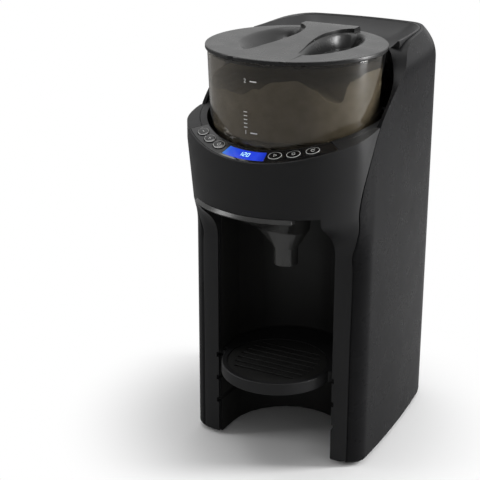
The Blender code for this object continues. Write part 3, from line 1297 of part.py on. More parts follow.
def make_funnel():
    """Wide drawer funnel: crescent lip, slanted hopper and round spout."""
    quarter = -math.pi / 2.0
    left = quarter + math.asin(HOPPER_LEFT / HOPPER_R)
    right = quarter + math.asin(HOPPER_RIGHT / HOPPER_R)
    front = arc((0.0, BOWL_Y), HOPPER_R, left, right, 9)
    rear = [(HOPPER_WAIST, HOPPER_WAIST_Y), (HOPPER_BACK, HOPPER_BACK_Y),
            (-HOPPER_BACK, HOPPER_BACK_Y), (-HOPPER_WAIST, HOPPER_WAIST_Y)]
    plan = angle_dense(front + rear, (SPOUT_X, SPOUT_Y), FUNNEL_SPREAD)
    flange_low = FUNNEL_TOP - FUNNEL_FLANGE
    outer = [hopper_ring(plan, "spout", SPOUT_BOTTOM, 0.0),
             hopper_ring(plan, "spout", SPOUT_TOP, 0.0),
             hopper_ring(plan, "break", HOPPER_BREAK_Z, 0.0),
             hopper_ring(plan, "top", flange_low + CLEAR, 0.0)]
    inner = [hopper_ring(plan, "spout", SPOUT_BOTTOM - OVERRUN, FUNNEL_WALL),
             hopper_ring(plan, "spout", SPOUT_TOP, FUNNEL_WALL),
             hopper_ring(plan, "break", HOPPER_BREAK_Z, FUNNEL_WALL),
             hopper_ring(plan, "top", flange_low, FUNNEL_WALL),
             hopper_ring(plan, "top", FUNNEL_TOP + OVERRUN, FUNNEL_WALL)]
    funnel = loft("funnel", outer)
    lip_left = quarter + math.asin(FUNNEL_LIP_LEFT / FUNNEL_LIP_R)
    lip_right = quarter + math.asin(FUNNEL_LIP_RIGHT / FUNNEL_LIP_R)
    strip_front = ARCH_FRONT_Y - CLEAR * 2.0
    edge = [(HOPPER_RIGHT + FUNNEL_RAIL_WEB, strip_front), (FUNNEL_STRIP_HALF, strip_front),
            (FUNNEL_STRIP_HALF, FUNNEL_STRIP_BACK_Y), (-FUNNEL_STRIP_HALF, FUNNEL_STRIP_BACK_Y),
            (-FUNNEL_STRIP_HALF, strip_front), (HOPPER_LEFT + FUNNEL_RAIL_WEB, strip_front)]
    outline = arc((0.0, BOWL_Y), FUNNEL_LIP_R, lip_left, lip_right, 12) + edge
    join(funnel, plate("flange", outline, flange_low, FUNNEL_TOP))
    tip = math.asin(FUNNEL_TIP_LEFT / FUNNEL_LIP_R)
    start = math.asin(FUNNEL_LIP_LEFT / FUNNEL_LIP_R) + FUNNEL_TIP_WIDE / PANEL_R
    band = polar_band(FUNNEL_LIP_R - FUNNEL_TIP_WIDE, FUNNEL_LIP_R, tip, start, 3)
    join(funnel, plate("lip_tip", band, flange_low, FUNNEL_TOP))
    cut(funnel, loft("hopper_inside", inner))
    return finish(funnel, "funnel", CHARCOAL)


def stand_plan(half, front_r):
    """Plan of the bottle stand: round front, and a round back that follows the liner."""
    shoulder = LINER_FRONT_Y + WALL
    front = arc((0.0, STAND_Y), front_r, -math.pi, 0.0, 16)
    rear = arc((0.0, ALCOVE_Y), half, 0.0, math.pi, 12)
    return front + [(half, shoulder)] + rear + [(-half, shoulder)]


def make_stand():
    """Bottle stand that slides out of its grooves, with a slotted drip plate."""
    rear_half = ALCOVE_HALF - STAND_REAR_GAP
    low = STAND_TOP - STAND_BAND
    stand = plate("bottle_stand", stand_plan(rear_half, STAND_R), low, STAND_TOP)
    sunk = STAND_TOP - STAND_PLATE_SINK - STAND_PLATE_THICK - CLEAR
    spread = STAND_PLATE_R + CLEAR
    cut(stand, rod("plate_seat", (0.0, STAND_Y), spread, sunk, STAND_TOP + OVERRUN, 40))
    cut(stand, rod("drip_cup", (0.0, STAND_Y), STAND_PLATE_R - WALL, low + STAND_FLOOR, STAND_TOP, 40))
    rail_high = RAIL_HIGH - 2.0 * CLEAR
    middle = STAND_TOP - STAND_BAND / 2.0
    rib = ALCOVE_HALF + RAIL_DEEP - CLEAR
    for side in (-1.0, 1.0):
        near = min(side * (rear_half - WALL), side * rib)
        far = max(side * (rear_half - WALL), side * rib)
        rib_low = (near, LINER_FRONT_Y + CLEAR, middle - rail_high / 2.0)
        join(stand, box("rib", rib_low, (far, RAIL_BACK_Y - CLEAR, middle + rail_high / 2.0)))
    finish(stand, "bottle_stand", CHARCOAL)
    plate_low = sunk + CLEAR
    plate_high = plate_low + STAND_PLATE_THICK
    grid = rod("stand_plate", (0.0, STAND_Y), STAND_PLATE_R, plate_low, plate_high, 40)
    for number in range(STAND_SLOTS):
        y = STAND_Y + (number - (STAND_SLOTS - 1) / 2.0) * STAND_SLOT_PITCH
        half = math.sqrt(STAND_PLATE_R ** 2 - (y - STAND_Y) ** 2) * STAND_SLOT_SHARE
        half_y = STAND_SLOT_WIDE / 2.0
        cut(grid, box("slot", (-half, y - half_y, plate_low - OVERRUN), (half, y + half_y, STAND_TOP)))
    finish(grid, "stand_plate", LINER_BLACK)


def make_base():
    """Bottom plate in the shape of the body's foot print, and four rubber feet."""
    inset = BOTTOM_ROLL + WALL + CLEAR
    high = BASE_LOW + BASE_THICK
    rings = [skin_ring(NOSE_START_Z, inset, BASE_LOW), skin_ring(NOSE_START_Z, inset, high)]
    base = loft("base_plate", rings)
    outline = alcove_outline(ALCOVE_HALF + ALCOVE_WALL + CLEAR, LEG_FRONT_Y - OVERRUN)
    cut(base, plate("base_alcove", outline, BASE_LOW - OVERRUN, high + OVERRUN))
    front_low = (-SIDE_HALF, LEG_FRONT_Y - OVERRUN, BASE_LOW - OVERRUN)
    cut(base, box("base_front", front_low, (SIDE_HALF, LEG_FRONT_Y + NOSE_WALL + CLEAR, high + OVERRUN)))
    finish(base, "base_plate", LINER_BLACK)
    feet = (("front_left", -FOOT_FRONT_X, FOOT_FRONT_Y), ("front_right", FOOT_FRONT_X, FOOT_FRONT_Y),
            ("rear_left", -FOOT_REAR_X, FOOT_REAR_Y), ("rear_right", FOOT_REAR_X, FOOT_REAR_Y))
    for name, x, y in feet:
        foot = rod("foot", (x, y), FOOT_R, 0.0, BASE_LOW - CLEAR, 20, FOOT_TOP_R)
        finish(foot, "foot_" + name, FOOT_RUBBER)


def tank_form(name, inset, low, high):
    """Form of the tank: it drops in through the rim and clears the container well."""
    rings = [skin_ring(NOSE_START_Z, TANK_IN + inset, low), skin_ring(NOSE_START_Z, TANK_IN + inset, high)]
    made = loft(name, rings)
    reach = SIDE_HALF + OVERRUN
    front_high = (reach, TANK_FRONT_Y + inset, high + OVERRUN)
    cut(made, box(name + "_front", (-reach, FRONT_LIMIT_Y, low - OVERRUN), front_high))
    well_r = TANK_WELL_R + inset
    return cut(made, rod(name + "_well", (0.0, BOWL_Y), well_r, low - OVERRUN, high + OVERRUN, WELL_SIDES))


def make_water_tank():
    """Open tank that lifts out, its lid, and the valve in its outlet."""
    neck = (NECK_X, NECK_Y)
    low = BAY_LOW + BAY_THICK + CLEAR
    high = TANK_OPEN_Z
    floor = low + TANK_WALL
    tank = tank_form("water_tank", 0.0, low, high)
    join(tank, rod("neck", neck, NECK_R, low - NECK_DEEP, floor - CLEAR, 20))
    cut(tank, tank_form("tank_inside", TANK_WALL, floor, high + OVERRUN))
    bore_low = low - NECK_DEEP - OVERRUN
    cut(tank, rod("valve_bore", neck, VALVE_STEM_R + CLEAR, bore_low, floor + OVERRUN, 16))
    finish(tank, "water_tank", WATER_CLEAR, (*neck, low))
    lid = tank_opening("tank_lid", CLEAR, TANK_OPEN_Z + CLEAR, TANK_LID_TOP)
    well_r = WELL_R + CLEAR
    cut(lid, rod("lid_well", (0.0, BOWL_Y), well_r, TANK_OPEN_Z - OVERRUN, BODY_TOP, WELL_SIDES))
    rings = []
    for inset_share, rise_share in reversed(DISH_SHARES):
        inset = RIM_IN + TANK_WALL + DISH_IN * inset_share
        rings.append(skin_ring(NOSE_START_Z, inset, DISH_LOW + (DISH_HIGH - DISH_LOW) * rise_share))
    rings.append(skin_ring(NOSE_START_Z, RIM_IN + TANK_WALL, DISH_HIGH))
    cut(lid, loft("dish", rings))
    finish(lid, "tank_lid", GRAPHITE, (0.0, REAR_Y - RIM_IN, TANK_OPEN_Z + CLEAR))
    head_low = floor + CLEAR
    stem_low = low - VALVE_STEM_BELOW
    plunger = rod("valve_plunger", neck, VALVE_HEAD_R, head_low, head_low + VALVE_HEAD_THICK, 20)
    join(plunger, rod("stem", neck, VALVE_STEM_R, stem_low, head_low + CLEAR, 16))
    finish(plunger, "valve_plunger", SEAL_GREY, (*neck, low))


def make_tank_bay():
    """Shelf under the tank, with the cup that its outlet plugs into."""
    neck = (NECK_X, NECK_Y)
    high = BAY_LOW + BAY_THICK
    inset = WALL + CLEAR
    bay = loft("tank_bay", [skin_ring(NOSE_START_Z, inset, BAY_LOW), skin_ring(NOSE_START_Z, inset, high)])
    reach = SIDE_HALF + OVERRUN
    front_high = (reach, TANK_FRONT_Y, high + OVERRUN)
    cut(bay, box("bay_front", (-reach, FRONT_LIMIT_Y, BAY_LOW - OVERRUN), front_high))
    cup_low = BAY_LOW - CUP_DEEP
    cup_r = NECK_R + CLEAR
    join(bay, rod("cup", neck, cup_r + CUP_WALL, cup_low, high - CLEAR, 20))
    join(bay, rod("barb", neck, BARB_R, cup_low - BARB_LONG, cup_low + CLEAR, 14))
    cut(bay, rod("cup_inside", neck, cup_r, cup_low + CUP_FLOOR, high + OVERRUN, 20))
    cut(bay, rod("barb_bore", neck, BARB_BORE_R, cup_low - BARB_LONG - OVERRUN, high, 10))
    bridge = cup_low + CUP_FLOOR
    bar_low = (NECK_X - BARB_R, NECK_Y - PIN_BAR_HALF, bridge - PIN_BAR_HIGH)
    bar_high = (NECK_X + BARB_R, NECK_Y + PIN_BAR_HALF, bridge + CLEAR)
    join(bay, box("pin_bar", bar_low, bar_high))
    pin_top = high - VALVE_STEM_BELOW
    join(bay, rod("valve_pin", neck, VALVE_PIN_R, bridge, pin_top, 10))
    finish(bay, "tank_bay", LINER_BLACK)
    return cup_low - BARB_LONG


def make_water_works():
    """Pump, heater, nozzle and the hoses between them."""
    floor = BASE_LOW + BASE_THICK + CLEAR
    neck = (NECK_X, NECK_Y)
    head_low = floor + PUMP_HIGH
    head_top = head_low + PUMP_HEAD_HIGH
    pump = rod("water_pump", neck, PUMP_R, floor, head_low + CLEAR, 24)
    half = PUMP_HEAD_HALF
    corner = (NECK_X + half, NECK_Y + half, head_top)
    join(pump, box("head", (NECK_X - half, NECK_Y - half, head_low), corner))
    finish(pump, "water_pump", LINER_BLACK)
    heater_low = floor + HEATER_FOOT
    heater_top = heater_low + HEATER_HIGH
    heater_back = NECK_Y + HEATER_HALF_Y
    heater_front = NECK_Y - HEATER_HALF_Y
    block_low = (HEATER_LEFT, heater_front, heater_low)
    heater = box("heater_block", block_low, (HEATER_RIGHT, heater_back, heater_top))
    fins = int((HEATER_RIGHT - HEATER_LEFT) / HEATER_FIN_PITCH)
    for number in range(1, fins):
        x = HEATER_LEFT + HEATER_FIN_PITCH * number
        fin_low = (x, heater_front - OVERRUN, heater_low - OVERRUN)
        fin_high = (x + HEATER_FIN_WIDE, heater_front + HEATER_FIN_DEEP, heater_top + OVERRUN)
        cut(heater, box("fin", fin_low, fin_high))
    for x in (HEATER_LEFT + HEATER_FOOT, HEATER_RIGHT - HEATER_FOOT):
        spot = (x, NECK_Y + HEATER_HALF_Y / 2.0)
        join(heater, rod("heater_foot", spot, HEATER_FOOT / 2.0, floor, heater_low + CLEAR, 12))
    finish(heater, "heater_block", ALUMINIUM)
    nozzle_low = ALCOVE_TOP
    seat = ALCOVE_TOP + ALCOVE_WALL + CLEAR
    nozzle_top = seat + NECK_DEEP
    profile = [(NOZZLE_BORE_R, nozzle_top), (NOZZLE_R, nozzle_top), (NOZZLE_R, seat + CUP_FLOOR),
               (NOZZLE_R * 2.0, seat + CUP_FLOOR), (NOZZLE_R * 2.0, seat), (NOZZLE_R, seat),
               (NOZZLE_R, nozzle_low), (NOZZLE_BORE_R, nozzle_low)]
    nozzle = turned("water_nozzle", profile, (NOZZLE_X, NOZZLE_Y), 16)
    finish(nozzle, "water_nozzle", MOVING_WHITE)
    barb_low = make_tank_bay()
    supply = [(*neck, barb_low - CLEAR), (*neck, head_top + CLEAR)]
    finish(tube("supply_hose", supply, HOSE_R, 2), "supply_hose", HOSE_CLEAR)
    level = (head_low + head_top) / 2.0
    feed = [(NECK_X - half - CLEAR, NECK_Y, level), (HEATER_RIGHT + CLEAR, NECK_Y, level)]
    finish(tube("feed_hose", feed, HOSE_R, 2), "feed_hose", HOSE_CLEAR)
    middle = (HEATER_LEFT + HEATER_RIGHT) / 2.0
    start = (middle, NECK_Y, heater_top + CLEAR)
    end = (NOZZLE_X, NOZZLE_Y, nozzle_top + CLEAR)
    first = (*start[:2], start[2] + HOSE_R)
    last = (*end[:2], end[2] + HOSE_R)
    rise = [(x, BOARD_Y + y, z) for x, y, z in HOT_RISE]
    route = smooth_route([first] + HOT_START + rise + HOT_OVER + [last], HOSE_STEPS)
    finish(tube("hot_hose", [start] + route + [end], HOSE_R, 2), "hot_hose", HOSE_CLEAR)


def make_electrics():
    """Main board behind the alcove and the power inlet in the rear wall."""
    low = (-BOARD_HALF, BOARD_Y, BOARD_LOW)
    board = box("main_board", low, (BOARD_HALF, BOARD_Y + BOARD_THICK, BOARD_TOP))
    back = ALCOVE_Y + math.sqrt((ALCOVE_HALF + ALCOVE_WALL) ** 2 - (BOARD_POST_X - BOARD_POST_R) ** 2)
    length = BOARD_Y - back
    turn = Matrix.Rotation(-math.pi / 2.0, 4, "X")
    for side in (-1.0, 1.0):
        for z in (BOARD_LOW + BOARD_POST_IN, BOARD_TOP - BOARD_POST_IN):
            post = rod("post", (0.0, 0.0), BOARD_POST_R, CLEAR, length + CLEAR, 12)
            shift = Matrix.Translation((side * BOARD_POST_X, back, z)) @ turn
            post.data.transform(shift)
            join(board, post)
    finish(board, "main_board", BOARD_GREEN)
    face = REAR_Y - (REAR_ARC - math.sqrt(REAR_ARC ** 2 - (INLET_X + INLET_WIDE / 2.0) ** 2)) - INLET_SINK
    half_x = INLET_WIDE / 2.0 - CLEAR
    half_z = INLET_HIGH / 2.0 - CLEAR
    inlet_low = (INLET_X - half_x, face - INLET_DEEP, INLET_Z - half_z)
    inlet = box("power_inlet", inlet_low, (INLET_X + half_x, face, INLET_Z + half_z))
    room_x = half_x - INLET_WALL
    room_z = half_z - INLET_WALL
    socket_low = (INLET_X - room_x, face - INLET_DEEP + INLET_FLOOR, INLET_Z - room_z)
    socket_high = (INLET_X + room_x, face + OVERRUN, INLET_Z + room_z)
    cut(inlet, box("socket", socket_low, socket_high))
    for side in (-1.0, 1.0):
        pin = rod("pin", (0.0, 0.0), INLET_PIN_R, 0.0, INLET_DEEP - INLET_FLOOR, 10)
        spot = (INLET_X + side * INLET_PIN_GAP / 2.0, face - INLET_DEEP + INLET_FLOOR - CLEAR, INLET_Z)
        pin.data.transform(Matrix.Translation(spot) @ turn)
        join(inlet, pin)
    finish(inlet, "power_inlet", LINER_BLACK)


def main():
    """Build every piece of the machine."""
    make_front_housing()
    make_rear_shell()
    make_base()
    make_alcove()
    make_control_panel()
    make_top_deck()
    make_powder_chute()
    make_drive()
    make_container()
    make_dosing()
    make_container_lid()
    make_funnel()
    make_stand()
    make_water_tank()
    make_water_works()
    make_electrics()


main()
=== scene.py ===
# %% [markdown]
# The looks of a counter-top baby formula maker. The solids, their places and their joints come
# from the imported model, the frame. This file gives every surface its finish and builds the fine
# mouldings that the frame holds only as plain facets.

# %% Load the frame
import functools
import json
import math

import bmesh
import bpy
from mathutils import Matrix, Vector, noise


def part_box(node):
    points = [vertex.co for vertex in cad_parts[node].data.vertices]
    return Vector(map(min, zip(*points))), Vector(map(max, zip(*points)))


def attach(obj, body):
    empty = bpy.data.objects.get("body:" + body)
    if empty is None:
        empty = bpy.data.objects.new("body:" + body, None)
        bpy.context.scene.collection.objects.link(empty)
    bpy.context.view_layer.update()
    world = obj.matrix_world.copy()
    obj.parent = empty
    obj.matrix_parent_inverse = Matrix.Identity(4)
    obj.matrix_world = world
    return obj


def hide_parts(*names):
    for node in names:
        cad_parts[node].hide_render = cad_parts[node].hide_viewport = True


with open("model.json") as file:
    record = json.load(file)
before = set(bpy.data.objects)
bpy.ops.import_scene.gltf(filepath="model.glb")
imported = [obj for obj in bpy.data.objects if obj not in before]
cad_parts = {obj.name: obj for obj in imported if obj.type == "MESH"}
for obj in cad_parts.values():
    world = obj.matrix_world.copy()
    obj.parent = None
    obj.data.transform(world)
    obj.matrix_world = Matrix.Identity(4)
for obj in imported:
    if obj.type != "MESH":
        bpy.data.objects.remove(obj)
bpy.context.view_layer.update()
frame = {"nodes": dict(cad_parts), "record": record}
MM = 0.001

# %% [markdown]
# The camera stands where the photograph was taken from: a little above the machine, to its
# right, with a long lens. The shift is the small offset of the picture's optical centre.

# %% Camera
CAMERA_PLACE = Vector((453.4 * MM, -971.9 * MM, 567.4 * MM))
CAMERA_TILT = math.radians(69.66)
CAMERA_TURN = math.radians(28.27)
CAMERA_LENS = 97.5
CAMERA_SHIFT = 0.0081

view = bpy.data.cameras.new("photo_view")
view.lens = CAMERA_LENS
view.sensor_width = 36.0
view.shift_y = CAMERA_SHIFT
view.clip_start = 10.0 * MM
camera = bpy.data.objects.new("photo_view", view)
camera.location = CAMERA_PLACE
camera.rotation_euler = (CAMERA_TILT, 0.0, CAMERA_TURN)
bpy.context.scene.collection.objects.link(camera)
bpy.context.scene.camera = camera
bpy.context.scene.view_settings.view_transform = "Standard"
print("camera at", [round(value, 3) for value in CAMERA_PLACE])

# %% [markdown]
# Colours are written as sRGB hex values, as a colour picker shows them, and shaders want linear
# light. One function converts them. One more adds a node with its settings and its links, so
# that each material below reads as a short list of what feeds what.

# %% Colour and node helpers
def linear(hex_value):
    """An sRGB hex colour as linear red, green, blue and 1."""
    parts = [int(hex_value[index:index + 2], 16) / 255.0 for index in (1, 3, 5)]
    light = [part / 12.92 if part <= 0.04045 else ((part + 0.055) / 1.055) ** 2.4 for part in parts]
    return (*light, 1.0)


def add_node(tree, kind, inputs=None, **settings):
    """A node of a tree with its settings; an input takes a value or another node's output."""
    node = tree.nodes.new(kind)
    for name, value in settings.items():
        setattr(node, name, value)
    for name, value in (inputs or {}).items():
        socket = node.inputs[name]
        if isinstance(value, bpy.types.NodeSocket):
            tree.links.new(value, socket)
        else:
            socket.default_value = value
    return node


def new_tree(name):
    """An empty material tree with its output node."""
    made = bpy.data.materials.new(name)
    made.use_nodes = True
    tree = made.node_tree
    tree.nodes.clear()
    return made, tree, tree.nodes.new("ShaderNodeOutputMaterial")


print("charcoal is", [round(value, 4) for value in linear("#262627")])

# %% [markdown]
# The studio is one pale floor that runs out of the picture, so the photograph's white ground is
# the floor itself. It keeps the machine's shadow close by, and far off it turns to plain white.
# Gloss sees a darker floor, or the side walls would mirror its white. The world is white to the
# camera and through clear plastic, lights softly, and shows gloss less light in front than behind.

# %% Floor and world
FLOOR_HALF = 6.0
FLOOR_SHADE = "#f2f2f2"
SHADOW_START = 0.10
SHADOW_REACH = 0.23
FLOOR_SHINE_SHARE = 0.38


def floor_material():
    """Matt paper that fades to plain white away from the machine."""
    made, tree, out = new_tree("studio_paper")
    place = add_node(tree, "ShaderNodeTexCoord")
    away = add_node(tree, "ShaderNodeVectorMath", {0: place.outputs["Object"]}, operation="LENGTH")
    fade = add_node(tree, "ShaderNodeMapRange", {
        "Value": away.outputs["Value"], "From Min": SHADOW_START,
        "From Max": SHADOW_REACH}, interpolation_type="SMOOTHSTEP")
    rays = add_node(tree, "ShaderNodeLightPath")
    seen = add_node(tree, "ShaderNodeMath", {
        0: rays.outputs["Is Camera Ray"], 1: rays.outputs["Is Transmission Ray"]},
        operation="MAXIMUM")
    share = add_node(tree, "ShaderNodeMath", {
        0: fade.outputs["Result"], 1: seen.outputs[0]}, operation="MULTIPLY")
    tone = linear(FLOOR_SHADE)[0]
    shade_seen = add_node(tree, "ShaderNodeMapRange", {
        "Value": rays.outputs["Is Glossy Ray"],
        "To Min": tone, "To Max": tone * FLOOR_SHINE_SHARE})
    paper = add_node(tree, "ShaderNodeBsdfDiffuse", {"Color": shade_seen.outputs["Result"]})
    white = add_node(tree, "ShaderNodeEmission", {"Strength": 1.0})
    mix = add_node(tree, "ShaderNodeMixShader", {
        0: share.outputs[0], 1: paper.outputs[0], 2: white.outputs[0]})
    tree.links.new(mix.outputs[0], out.inputs["Surface"])
    return made


floor_mesh = bpy.data.meshes.new("studio_floor")
shape = bmesh.new()
bmesh.ops.create_grid(shape, x_segments=1, y_segments=1, size=FLOOR_HALF)
shape.to_mesh(floor_mesh)
shape.free()
floor = bpy.data.objects.new("studio_floor", floor_mesh)
floor.data.materials.append(floor_material())
bpy.context.scene.collection.objects.link(floor)

WORLD_LIGHT = 0.30
SHINE_FRONT = 0.36
SHINE_BACK = 0.72
SHINE_FROM = -0.3
SHINE_TO = 0.6
world = bpy.data.worlds.new("studio")
world.use_nodes = True
studio = world.node_tree
studio.nodes.clear()
rays = add_node(studio, "ShaderNodeLightPath")
direct = add_node(studio, "ShaderNodeMath", {
    0: rays.outputs["Is Camera Ray"], 1: rays.outputs["Is Transmission Ray"]},
    operation="MAXIMUM")
way = add_node(studio, "ShaderNodeTexCoord")
parts = add_node(studio, "ShaderNodeSeparateXYZ", {0: way.outputs["Generated"]})
shine = add_node(studio, "ShaderNodeMapRange", {
    "Value": parts.outputs["Y"], "From Min": SHINE_FROM, "From Max": SHINE_TO,
    "To Min": SHINE_FRONT, "To Max": SHINE_BACK}, interpolation_type="SMOOTHSTEP")
soft = add_node(studio, "ShaderNodeMapRange", {
    "Value": rays.outputs["Is Glossy Ray"],
    "To Min": WORLD_LIGHT, "To Max": shine.outputs["Result"]})
strength = add_node(studio, "ShaderNodeMapRange", {
    "Value": direct.outputs[0], "To Min": soft.outputs["Result"], "To Max": 1.0})
sky = add_node(studio, "ShaderNodeBackground", {
    "Color": (1.0, 1.0, 1.0, 1.0), "Strength": strength.outputs["Result"]})
add_node(studio, "ShaderNodeOutputWorld", {"Surface": sky.outputs[0]})
bpy.context.scene.world = world
print("floor fades to white", SHADOW_REACH, "m from the machine")

# %% [markdown]
# Three soft boxes, as over a product table: a wide one overhead, a tall one on the right
# and behind that draws the bright band on the clear jar, and a weak fill from the left front.

# %% Lamps
def soft_box(name, place, aim, width, height, watts):
    """A rectangular area lamp that faces a point."""
    lamp = bpy.data.lights.new(name, "AREA")
    lamp.shape = "RECTANGLE"
    lamp.size = width
    lamp.size_y = height
    lamp.energy = watts
    made = bpy.data.objects.new(name, lamp)
    made.location = place
    made.rotation_euler = (Vector(aim) - Vector(place)).to_track_quat("-Z", "Y").to_euler()
    bpy.context.scene.collection.objects.link(made)
    return made


MIDDLE = (0.0, 0.0, 0.2)
# Name, place in metres, width, height and watts.
LAMPS = (
    ("overhead", (-0.15, 0.10, 1.45), 1.2, 1.2, 9.0),
    ("right_tall", (1.09, 0.56, 0.60), 0.30, 1.2, 22.0),
    ("left_fill", (-1.15, -0.60, 0.75), 0.5, 0.9, 5.0),
)
for name, place, width, height, watts in LAMPS:
    soft_box(name, place, MIDDLE, width, height, watts)
print(len(LAMPS), "soft boxes")

# %% [markdown]
# Nearly all of the machine is moulded ABS with a spark-eroded surface: the tool's steel was
# roughened by sparks, and the plastic keeps that grain of about half a millimetre. Up close
# it is a fine bump, and from afar it spreads the gloss. Noise at two scales makes the grain and
# the slight cloudiness that handling leaves in the gloss. A bevel in the shader rounds each
# edge as the tool's radius does, so edges catch a thin line of light.

# %% Moulded plastic
TONE_DRIFT = 45.0 * MM
GLOSS_DRIFT = 18.0 * MM
EDGE_SOFT = 0.5 * MM


def grain(tree, size, strength, edge):
    """The bump of a moulded surface with a grain size, on edges of a small radius."""
    place = add_node(tree, "ShaderNodeTexCoord")
    noise = add_node(tree, "ShaderNodeTexNoise", {
        "Vector": place.outputs["Object"], "Scale": 1.0 / size, "Detail": 2.0, "Roughness": 0.6})
    rounded = add_node(tree, "ShaderNodeBevel", {"Radius": edge}, samples=4)
    bump = add_node(tree, "ShaderNodeBump", {
        "Height": noise.outputs["Fac"], "Strength": strength, "Distance": size / 4.0,
        "Normal": rounded.outputs["Normal"]})
    return bump.outputs["Normal"]


def cloudy(tree, size, low, high):
    """A slow drift between two values over a surface."""
    place = add_node(tree, "ShaderNodeTexCoord")
    noise = add_node(tree, "ShaderNodeTexNoise", {
        "Vector": place.outputs["Object"], "Scale": 1.0 / size, "Detail": 3.0, "Roughness": 0.55})
    drift = add_node(tree, "ShaderNodeMapRange", {
        "Value": noise.outputs["Fac"], "From Min": 0.3, "From Max": 0.7,
        "To Min": low, "To Max": high})
    return drift.outputs["Result"]


def two_tones(tree, dark, light, size):
    """A colour that drifts between two near tones."""
    return add_node(tree, "ShaderNodeMix", {
        0: cloudy(tree, size, 0.0, 1.0), 6: linear(dark), 7: linear(light)},
        data_type="RGBA").outputs[2]


def moulded(name, dark, light, rough, grain_size, bump, specular):
    """Moulded plastic: two near tones, a gloss that drifts, a fine grain and softened edges."""
    made, tree, out = new_tree(name)
    shader = add_node(tree, "ShaderNodeBsdfPrincipled", {
        "Base Color": two_tones(tree, dark, light, TONE_DRIFT),
        "Roughness": cloudy(tree, GLOSS_DRIFT, rough - 0.03, rough + 0.04),
        "IOR": 1.53, "Specular IOR Level": specular,
        "Normal": grain(tree, grain_size, bump, EDGE_SOFT)})
    tree.links.new(shader.outputs["BSDF"], out.inputs["Surface"])
    return made


charcoal_abs = moulded("charcoal_moulded_abs", "#19191a", "#1d1d1e", 0.46, 0.45 * MM, 0.30, 0.3)
graphite_abs = moulded("graphite_moulded_abs", "#19191a", "#1d1d1e", 0.28, 0.45 * MM, 0.18, 0.07)
satin_abs = moulded("satin_graphite_abs", "#1c1c1d", "#202021", 0.42, 0.45 * MM, 0.20, 0.35)
liner_abs = moulded("black_moulded_abs", "#191918", "#1d1d1c", 0.50, 0.60 * MM, 0.30, 0.5)
lid_abs = moulded("grey_moulded_abs", "#1b1b1b", "#1f1f1f", 0.28, 0.35 * MM, 0.10, 0.42)
nylon = moulded("white_moulded_nylon", "#cfcdc6", "#d8d6cf", 0.48, 0.40 * MM, 0.15, 0.5)
funnel_abs = moulded("satin_moulded_abs", "#2a2a29", "#2f2f2e", 0.22, 0.35 * MM, 0.08, 0.8)
print("seven moulded finishes")

# %% [markdown]
# The control panel is polished acrylic, black behind its face, with a clear coat like lacquer.
# Its gloss is even, apart from the faint smears that fingers leave.

# %% Gloss panel
def gloss_panel():
    """Polished black acrylic with faint smears."""
    made, tree, out = new_tree("black_polished_acrylic")
    rounded = add_node(tree, "ShaderNodeBevel", {"Radius": 0.35 * MM}, samples=4)
    shader = add_node(tree, "ShaderNodeBsdfPrincipled", {
        "Base Color": two_tones(tree, "#060608", "#09090c", 30.0 * MM),
        "Roughness": cloudy(tree, 9.0 * MM, 0.05, 0.13),
        "IOR": 1.49, "Coat Weight": 0.5, "Coat Roughness": 0.04,
        "Normal": rounded.outputs["Normal"]})
    tree.links.new(shader.outputs["BSDF"], out.inputs["Surface"])
    return made


panel_acrylic = gloss_panel()
print("gloss panel finish")

# %% [markdown]
# The display is a liquid crystal cell lit from one edge: bright blue in the middle, paler and
# greener at its left end, where its lamp sits, and darker at its right, where the light falls
# off. A gradient along the window's own length draws that, and its weave of fine lines is the
# pixel grid.

# %% Display
def backlit_display(low, high):
    """A blue lit cell between two corners, brighter at its left end."""
    made, tree, out = new_tree("blue_backlit_display")
    place = add_node(tree, "ShaderNodeTexCoord")
    parts = add_node(tree, "ShaderNodeSeparateXYZ", {0: place.outputs["Object"]})
    across = add_node(tree, "ShaderNodeMapRange", {
        "Value": parts.outputs["X"], "From Min": low.x, "From Max": high.x})
    ramp = add_node(tree, "ShaderNodeValToRGB", {"Fac": across.outputs["Result"]})
    stops = ((0.0, "#2f86e8"), (0.14, "#2a5cf0"), (0.45, "#2144f2"),
             (0.8, "#2f4ff5"), (1.0, "#1734c8"))
    band = ramp.color_ramp.elements
    band[0].position, band[0].color = stops[0][0], linear(stops[0][1])
    band[1].position, band[1].color = stops[-1][0], linear(stops[-1][1])
    for share, shade in stops[1:-1]:
        band.new(share).color = linear(shade)
    cells = add_node(tree, "ShaderNodeTexWave", {
        "Vector": place.outputs["Object"], "Scale": 1.0 / (2.4 * MM)}, bands_direction="X")
    weave = add_node(tree, "ShaderNodeMapRange", {
        "Value": cells.outputs["Fac"], "To Min": 0.72, "To Max": 0.82})
    shader = add_node(tree, "ShaderNodeBsdfPrincipled", {
        "Base Color": linear("#05081c"), "Roughness": 0.12, "Specular IOR Level": 0.25,
        "Emission Color": ramp.outputs["Color"], "Emission Strength": weave.outputs["Result"]})
    tree.links.new(shader.outputs["BSDF"], out.inputs["Surface"])
    return made


display_lit = backlit_display(*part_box("display_window"))
print("display finish")

# %% [markdown]
# The jar is smoke-tinted SAN, a stiff clear plastic, moulded to a polish. Each wall takes
# a good part of the light. A shader that lets shadow rays through tinted keeps the powder inside
# lit, as thin plastic does, without the noise that light bent through glass brings.

